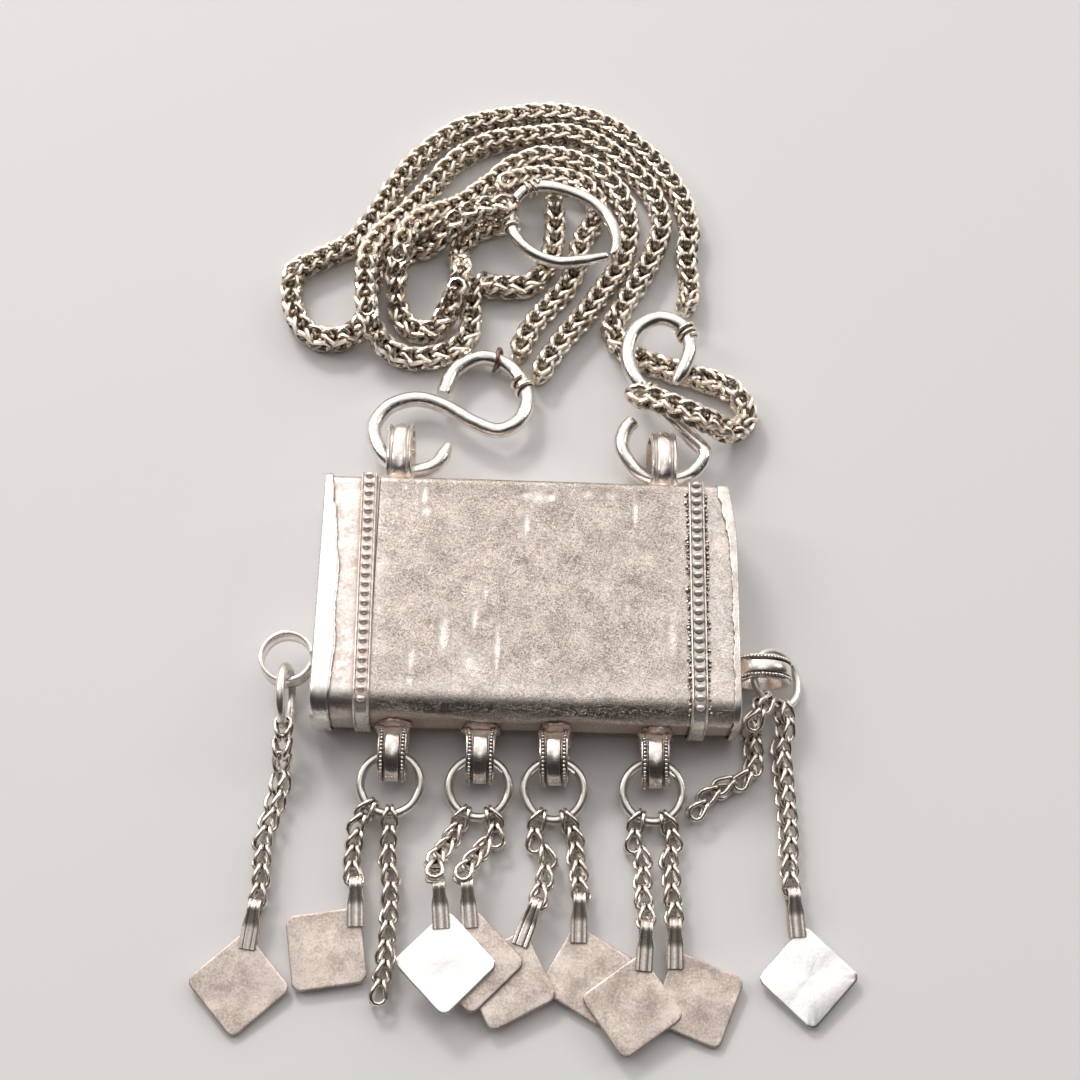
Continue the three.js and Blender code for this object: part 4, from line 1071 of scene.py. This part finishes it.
hook_silver = worn_silver(
    "hook_silver", bright=(0.94, 0.905, 0.87), shade=(0.78, 0.72, 0.665), patina=(0.26, 0.17, 0.12),
    rough=(0.13, 0.3), cloud=3.6, grain=0.55, deep=0.9, reach=0.9, scratch=0.25, bump=0.3,
)
for name in HOOKS:
    line = hook_line(name, 260)
    tip_last = name == "hook_left"

    def forging(share, turn, tip_last=tip_last):
        to_tip = (1 - share if tip_last else share) * HOOK_LENGTH
        to_cut = (share if tip_last else 1 - share) * HOOK_LENGTH
        taper = 0.5 + 0.5 * min(1, to_tip / 3.4) ** 0.7
        worn = 1 - 0.06 * max(0, 1 - to_cut / 0.5)
        facet = 1 - 0.02 * cos(4 * turn + 2 * sin(share * 6)) - 0.025 * cos(2 * turn + share * 4)
        dent = 0.03 * ripple(share * 60, cos(turn), sin(turn))
        return HOOK_WIRE * min(1.0, facet + dent) * taper * worn

    forged(name + "_wire", wire(line, forging, 24), hook_silver, name, "hook_silver", name)

# Clasp ring and end links: the four strands end on one open ring of the same wire, and the last
# chain links are wound round it and round the hooks. One end link has turned dark brown.
CLASP_WIRE = 1.15
CLASP_LIE = 5.4
clasp_line = smooth_line([(x, y, CLASP_LIE) for x, y in (
    (15.5, 77.5), (16.1, 79.2), (16.2, 81.8), (14.9, 85.9), (11.8, 89.8), (7.1, 92.3), (1.7, 93.6),
    (-2.6, 92.2), (-5.2, 88), (-5.1, 83.6), (-3.2, 79.8), (0.4, 76.7), (4.7, 75.4), (9.2, 75.9),
    (13.2, 76.9), (14.6, 77.3),
)], count=200)


def clasp_round(share, turn):
    """The wire's half thickness: uneven all along, thin at its ends."""
    from_end = min(share, 1 - share)
    arm = min(1, from_end * 9)
    facets = 0.05 * ripple(share * 22, cos(turn), sin(turn))
    forged_round = CLASP_WIRE * (1 - 0.03 * cos(3 * turn + 7 * share) + facets)
    return forged_round * (0.72 + 0.38 * arm) * min(1, 0.8 + from_end * 40)


forged("clasp_ring_wire", wire(clasp_line, clasp_round, 20), hook_silver, "box", "hook_silver", "clasp_ring")
left_line, right_line = hook_line("hook_left", 120), hook_line("hook_right", 120)
# End link: its body, and for each winding its place along the wire, turns, length, the wire's half
# thickness and its own, how uneven it is, and a seed
for name, body, line, windings in (
    ("left_hook_end_link", "hook_left", left_line, [(0.27, 1.6, 3.4, HOOK_WIRE, 0.4, 0.25, 1)]),
    ("right_hook_top_link", "hook_right", right_line, [(0.14, 2.7, 3.0, HOOK_WIRE, 0.36, 0.3, 2)]),
    ("right_hook_waist_link", "hook_right", right_line, [
        (0.46, 2.2, 3.2, HOOK_WIRE, 0.38, 0.5, 3), (0.47, 1.7, 2.4, HOOK_WIRE + 0.5, 0.36, 0.7, 8),
    ]),
    ("clasp_top_link", "box", clasp_line, [(0.44, 2.3, 2.8, CLASP_WIRE, 0.36, 0.2, 4)]),
    ("clasp_left_link", "box", clasp_line, [(0.62, 1.8, 2.6, CLASP_WIRE, 0.36, 0.2, 6)]),
):
    coils = [lashing(line, *winding) for winding in windings]
    forged(name, joined(*coils), neck_silver, body, "chain_silver")
brown_axis = Vector((1, -0.28, 0)).normalized()
brown_side = UP
brown_other = brown_axis.cross(brown_side)
brown_line = []
for i in range(48):
    angle = 2 * pi * i / 48
    spread = 2.3 + 0.06 * cos(2 * angle)
    around = brown_side * cos(angle) + brown_other * sin(angle)
    brown_line.append(Vector((-6.9, 54.1, 2.4)) + around * spread + brown_axis * 0.25 * sin(2 * angle))
brown_wire = worn_silver(
    "brown_wire", bright=(0.34, 0.23, 0.17), shade=(0.17, 0.10, 0.07), patina=(0.05, 0.03, 0.02),
    rough=(0.25, 0.45), cloud=1.5, grain=0.4, reach=0.6, bump=0.3,
)
brown_link = wire(brown_line, 0.38, 10, closed=True)
forged("brown_link_wire", brown_link, brown_wire, "hook_left", "link_brown", "brown_link")

# Drop chains: single loop-in-loop chain. Each link is a ring of wire squeezed long and folded
# double, and the next one passes through its two open ends. The first link holds the ring.
DROP_PITCH = 3.3
DROP_WIRE = 0.41
DROP_LINK = [
    (0.0, 0.0, 0.42), (0.05, 0.9, 0.43), (0.75, 1.4, 0.5), (1.9, 1.3, 1.02), (3.1, 0.95, 1.35),
    (3.95, 0.68, 0.97), (4.3, 0.55, 0.0),
]
# How much the plates rise away from the box, in mm for each mm
PLATE_SLOPE = 0.075
LOWEST_PLATE, LAYER_STEP, SLOPE_FROM = 1.4, 1.05, -57
# Chain: its ring, the angle it leaves the ring at, its way down, then the eye of its strap with
# the layer it lies in, and the way the strap points. Two chains have lost their dangles.
DROPS = {
    "chain_left": (
        "ring_left", 0,
        [(-43, -27, 3.4), (-43.1, -31.5, 1.5), (-44, -37.1, 1.35), (-45.2, -42, 1.35), (-45.1, -49, 1.35)],
        (-45.8, -55.3, 0), (-0.12, -1),
    ),
    "chain_1_short": ("ring_1", -38, [(-28.6, -40.6, 1.7), (-29.4, -44, 1.4)], (-28.6, -51, 0), (0.05, -1)),
    "chain_1_long": (
        "ring_1", 2,
        [
            (-23.6, -43, 1.4), (-22.9, -47.3, 1.35), (-22.7, -52.4, 1.35), (-22.7, -60.8, 1.35),
            (-23.3, -66, 1.35), (-23.8, -70.4, 1.35),
        ],
        None, None,
    ),
    "chain_2_left": (
        "ring_2", -26, [(-12.3, -42.2, 1.7), (-14.3, -45.2, 3.4), (-14.5, -47.4, 5.1)],
        (-14.1, -51.8, 3.7), (0.1, -1),
    ),
    "chain_2_right": (
        "ring_2", 26, [(-6, -42.2, 1.5), (-7.6, -44.8, 2.4), (-8.8, -47, 3.5)], (-9.3, -51.2, 2), (0.1, -1),
    ),
    "chain_3_left": (
        "ring_3", -26, [(4.1, -43.4, 1.4), (4.2, -47.2, 1.6), (3.5, -50.5, 2.2)],
        (2.4, -54.1, 1), (-0.36, -1),
    ),
    "chain_3_right": ("ring_3", 26, [(9.2, -43.2, 1.3), (10, -47.2, 1.3)], (10.2, -52.8, 0), (0, -1)),
    "chain_4_left": (
        "ring_4", -26, [(20.8, -42.4, 1.3), (21.2, -48, 1.4)], (21.7, -57.6, 1.65), (-0.06, -1),
    ),
    "chain_4_right": ("ring_4", 26, [(26, -42.2, 1.3), (26.3, -47.6, 1.3)], (26.8, -56.8, 0), (0, -1)),
    "chain_right": (
        "ring_right", 14,
        [(46.7, -22.1, 1.5), (46.8, -29.8, 1.35), (47.2, -37.2, 1.35), (47.1, -44.4, 1.4)],
        (47.6, -51, 0), (0.08, -1),
    ),
    "chain_right_spare": (
        "ring_right", -32,
        [
            (41.3, -20.3, 1.9), (41.8, -24.4, 1.5), (40.6, -28.2, 1.4), (37.6, -30.4, 1.35),
            (34.6, -32, 1.35), (32.6, -34.4, 1.35), (31.8, -37.6, 1.35),
        ],
        None, None,
    ),
}


def plate_height(layer, y):
    return LOWEST_PLATE + layer * LAYER_STEP + PLATE_SLOPE * (y - SLOPE_FROM)


def strap_lie(eye, aim):
    """Eye, the way along the strap, out of the plate and across."""
    out = Vector((0, -PLATE_SLOPE, 1)).normalized()
    along = Vector((aim[0], aim[1], aim[1] * PLATE_SLOPE)).normalized()
    x, y, layer = eye
    return Vector((x, y, plate_height(layer, y))), along, out, along.cross(out).normalized()


drop_silver = worn_silver(
    "drop_chain_silver", bright=(1.0, 0.93, 0.86), shade=(0.84, 0.74, 0.64), patina=(0.075, 0.042, 0.022),
    rough=(0.16, 0.3), cloud=3, grain=0.5, reach=1.0, bump=0.25,
)
drop_link = link_shape(DROP_LINK, DROP_WIRE, sides=8, steps=30)
for chain, (ring, angle, route, eye, aim) in DROPS.items():
    centre, normal, hang, aside, wire_half = ring_lie(ring)
    turn = radians(angle)
    radial = hang * cos(turn) + aside * sin(turn)
    start = centre + radial * (RING_RADIUS - wire_half - 0.5)
    points = [start, start + radial * 3.4, *(Vector(p) for p in route)]
    last_up = UP
    if eye:
        hub, along, last_up, _ = strap_lie(eye, aim)
        points.append(hub - along * 0.4)
    line = smooth_line(points, spacing=0.4)
    run = run_of(line) - DROP_PITCH * (1.2 if eye else 1.0)
    kept, gone = [], 0.0
    for p, q in zip(line, line[1:]):
        kept.append(p)
        gone += (q - p).length
        if gone >= run:
            break
    ups = [normal.lerp(last_up, i / len(kept)) for i in range(len(kept))]
    links = repeated(
        chain + "_links", kept, ups, drop_link, drop_silver, Count=round(run / DROP_PITCH) + 1,
        Loose_turn=0.2 if eye else 0.36, Size_spread=0.04, Seed=len(route) * 3 + 1,
    )
    forged(chain + "_links", links, drop_silver, chain, "chain_silver", chain)

# Dangles: square silver plates with rounded corners, each hung by a folded strap of grooved sheet
# that holds the chain's last link and is soldered to the plate. They are worn matt and bent.
PLATE_SIDE, PLATE_CORNER, PLATE_THICK = 12.8, 1.5, 0.7
FOLD_SHEET, FOLD_EYE, FOLD_TAPER, FOLD_REACH = 0.5, 1.45, 3.0, 7.0
# Dangle: the chain it hangs on, its plate's middle and how far its sides are turned
PLATES = {
    1: ("chain_left", (-47.6, -68.1), 42, "grey"), 2: ("chain_1_short", (-33.1, -61.9), 9.5, "grey"),
    3: ("chain_2_left", (-12.5, -64.4), 45, "white"), 4: ("chain_2_right", (-7.9, -63.7), 45, "grey"),
    5: ("chain_3_left", (-1.9, -66.6), 28, "grey"), 6: ("chain_3_right", (11.9, -65.2), 60, "grey"),
    7: ("chain_4_left", (19.4, -70.5), 36, "grey"), 8: ("chain_4_right", (30.6, -68.8), 68.5, "grey"),
    9: ("chain_right", (49.9, -64.7), 48, "white"),
}
plate_finishes = {
    "grey": worn_silver(
        "plate_silver_grey", bright=(0.86, 0.74, 0.665), shade=(0.50, 0.405, 0.35), patina=(0.20, 0.13, 0.09),
        rough=(0.3, 0.46), cloud=5, grain=0.42, deep=0.9, reach=0.8, scratch=0.35, bump=0.25,
    ),
    "white": worn_silver(
        "plate_silver_white", bright=(0.98, 0.965, 0.95), shade=(0.92, 0.89, 0.865),
        patina=(0.32, 0.22, 0.16), rough=(0.15, 0.22), cloud=7, grain=0.5, deep=0.9, reach=0.8,
        scratch=0.2, bump=0.12,
    ),
}
strap_silver = worn_silver(
    "strap_silver", bright=(0.95, 0.88, 0.82), shade=(0.66, 0.57, 0.50), patina=(0.15, 0.09, 0.055),
    rough=(0.22, 0.38), cloud=2.5, grain=0.4, deep=0.9, reach=0.45, bump=0.3,
)
# Across the strap: share of its half-width, and how deep it is pressed in mm
GROOVES = [
    (-1, 0.12), (-0.92, 0), (-0.6, 0), (-0.46, 0.11), (-0.32, 0), (0.32, 0), (0.46, 0.11), (0.6, 0),
    (0.92, 0), (1, 0.12),
]


def strap_skin(eye, aim):
    """A strap folded round the chain's last link: up one side, round the eye and down the other."""
    hub, along, out, across = strap_lie(eye, aim)
    turns, steps, narrow, flare, closed_grip = 12, 14, 1.1, 0.35, 0.65
    sides = []
    for i in range(steps + 1):
        run = FOLD_REACH * (1 - i / steps)
        near = min(1, run / FOLD_TAPER)
        grip = FOLD_EYE + (closed_grip - FOLD_EYE) * near
        grip -= 0.27 * max(0, (run - FOLD_TAPER) / (FOLD_REACH - FOLD_TAPER))
        half = narrow + flare * max(0, min(1, (run - 1.1) / (FOLD_TAPER - 1.1)))
        sides.append((run, grip, half))
    stations = [(Vector((run, grip)), Vector((0, 1)), half) for run, grip, half in sides]
    for i in range(1, turns):
        angle = pi / 2 + pi * i / turns
        face = Vector((cos(angle), sin(angle)))
        stations.append((face * FOLD_EYE, face, narrow))
    stations += [(Vector((run, -grip)), Vector((0, -1)), half) for run, grip, half in reversed(sides)]
    rows = []
    for base, face, half in stations:
        row = []
        for share, deep in GROOVES:
            spot = base + face * (FOLD_SHEET - deep)
            row.append(hub + along * spot.x + out * spot.y + across * share * half)
        for share in (0.98, 0, -0.98):
            row.append(hub + along * base.x + out * base.y + across * share * half)
        rows.append(row)
    return loft(rows)


def plate_skin(eye, middle, turn):
    """A square sheet with rounded corners, a little warped, in rings from its back to its front."""
    out = Vector((0, -PLATE_SLOPE, 1)).normalized()
    plan = Vector((cos(radians(turn)), sin(radians(turn)), 0))
    first = (plan - out * plan.dot(out)).normalized()
    second = out.cross(first)
    centre = Vector((*middle, plate_height(eye[2], middle[1])))
    half = PLATE_SIDE / 2
    outline = []
    for quarter in range(4):
        corner = Matrix.Rotation(pi / 2 * quarter, 2)
        for i in range(12):
            outline.append(corner @ Vector((half, (half - PLATE_CORNER) * (i / 6 - 1))))
        for i in range(8):
            angle = pi / 2 * i / 8
            off = Vector((cos(angle), sin(angle))) * PLATE_CORNER
            outline.append(corner @ (Vector((half - PLATE_CORNER, half - PLATE_CORNER)) + off))

    def ring(share, high, inset=0.0):
        row = []
        for p in outline:
            at = p * share * (1 - inset / half)
            warp = 0.16 * ripple(at.x / 6, at.y / 6, turn) + 0.02 * ripple(at.x, at.y, turn)
            ragged = 0.05 * ripple(p.x * 1.4, p.y * 1.4, turn) * share
            at = at * (1 + ragged / half)
            row.append(centre + first * at.x + second * at.y + out * (high + warp))
        return row

    low, high = -PLATE_THICK / 2, PLATE_THICK / 2
    rows = [ring(share, low) for share in (0.04, 0.3, 0.6, 0.85)] + [ring(1, low, 0.12), ring(1, low + 0.12)]
    rows += [ring(1, high - 0.14), ring(1, high - 0.04, 0.05), ring(1, high, 0.16)]
    rows += [ring(share, high) for share in (0.93, 0.85, 0.7, 0.55, 0.4, 0.25, 0.12, 0.03)]
    return loft(rows)


for number, (chain, middle, turn, tone) in PLATES.items():
    eye, aim = DROPS[chain][3:]
    body = f"dangle_{number}"
    strap, plate = strap_skin(eye, aim), plate_skin(eye, middle, turn)
    forged(f"strap_{number}_sheet", strap, strap_silver, body, "strap_silver", f"strap_{number}")
    forged(f"plate_{number}_sheet", plate, plate_finishes[tone], body, "plate_silver", f"plate_{number}")
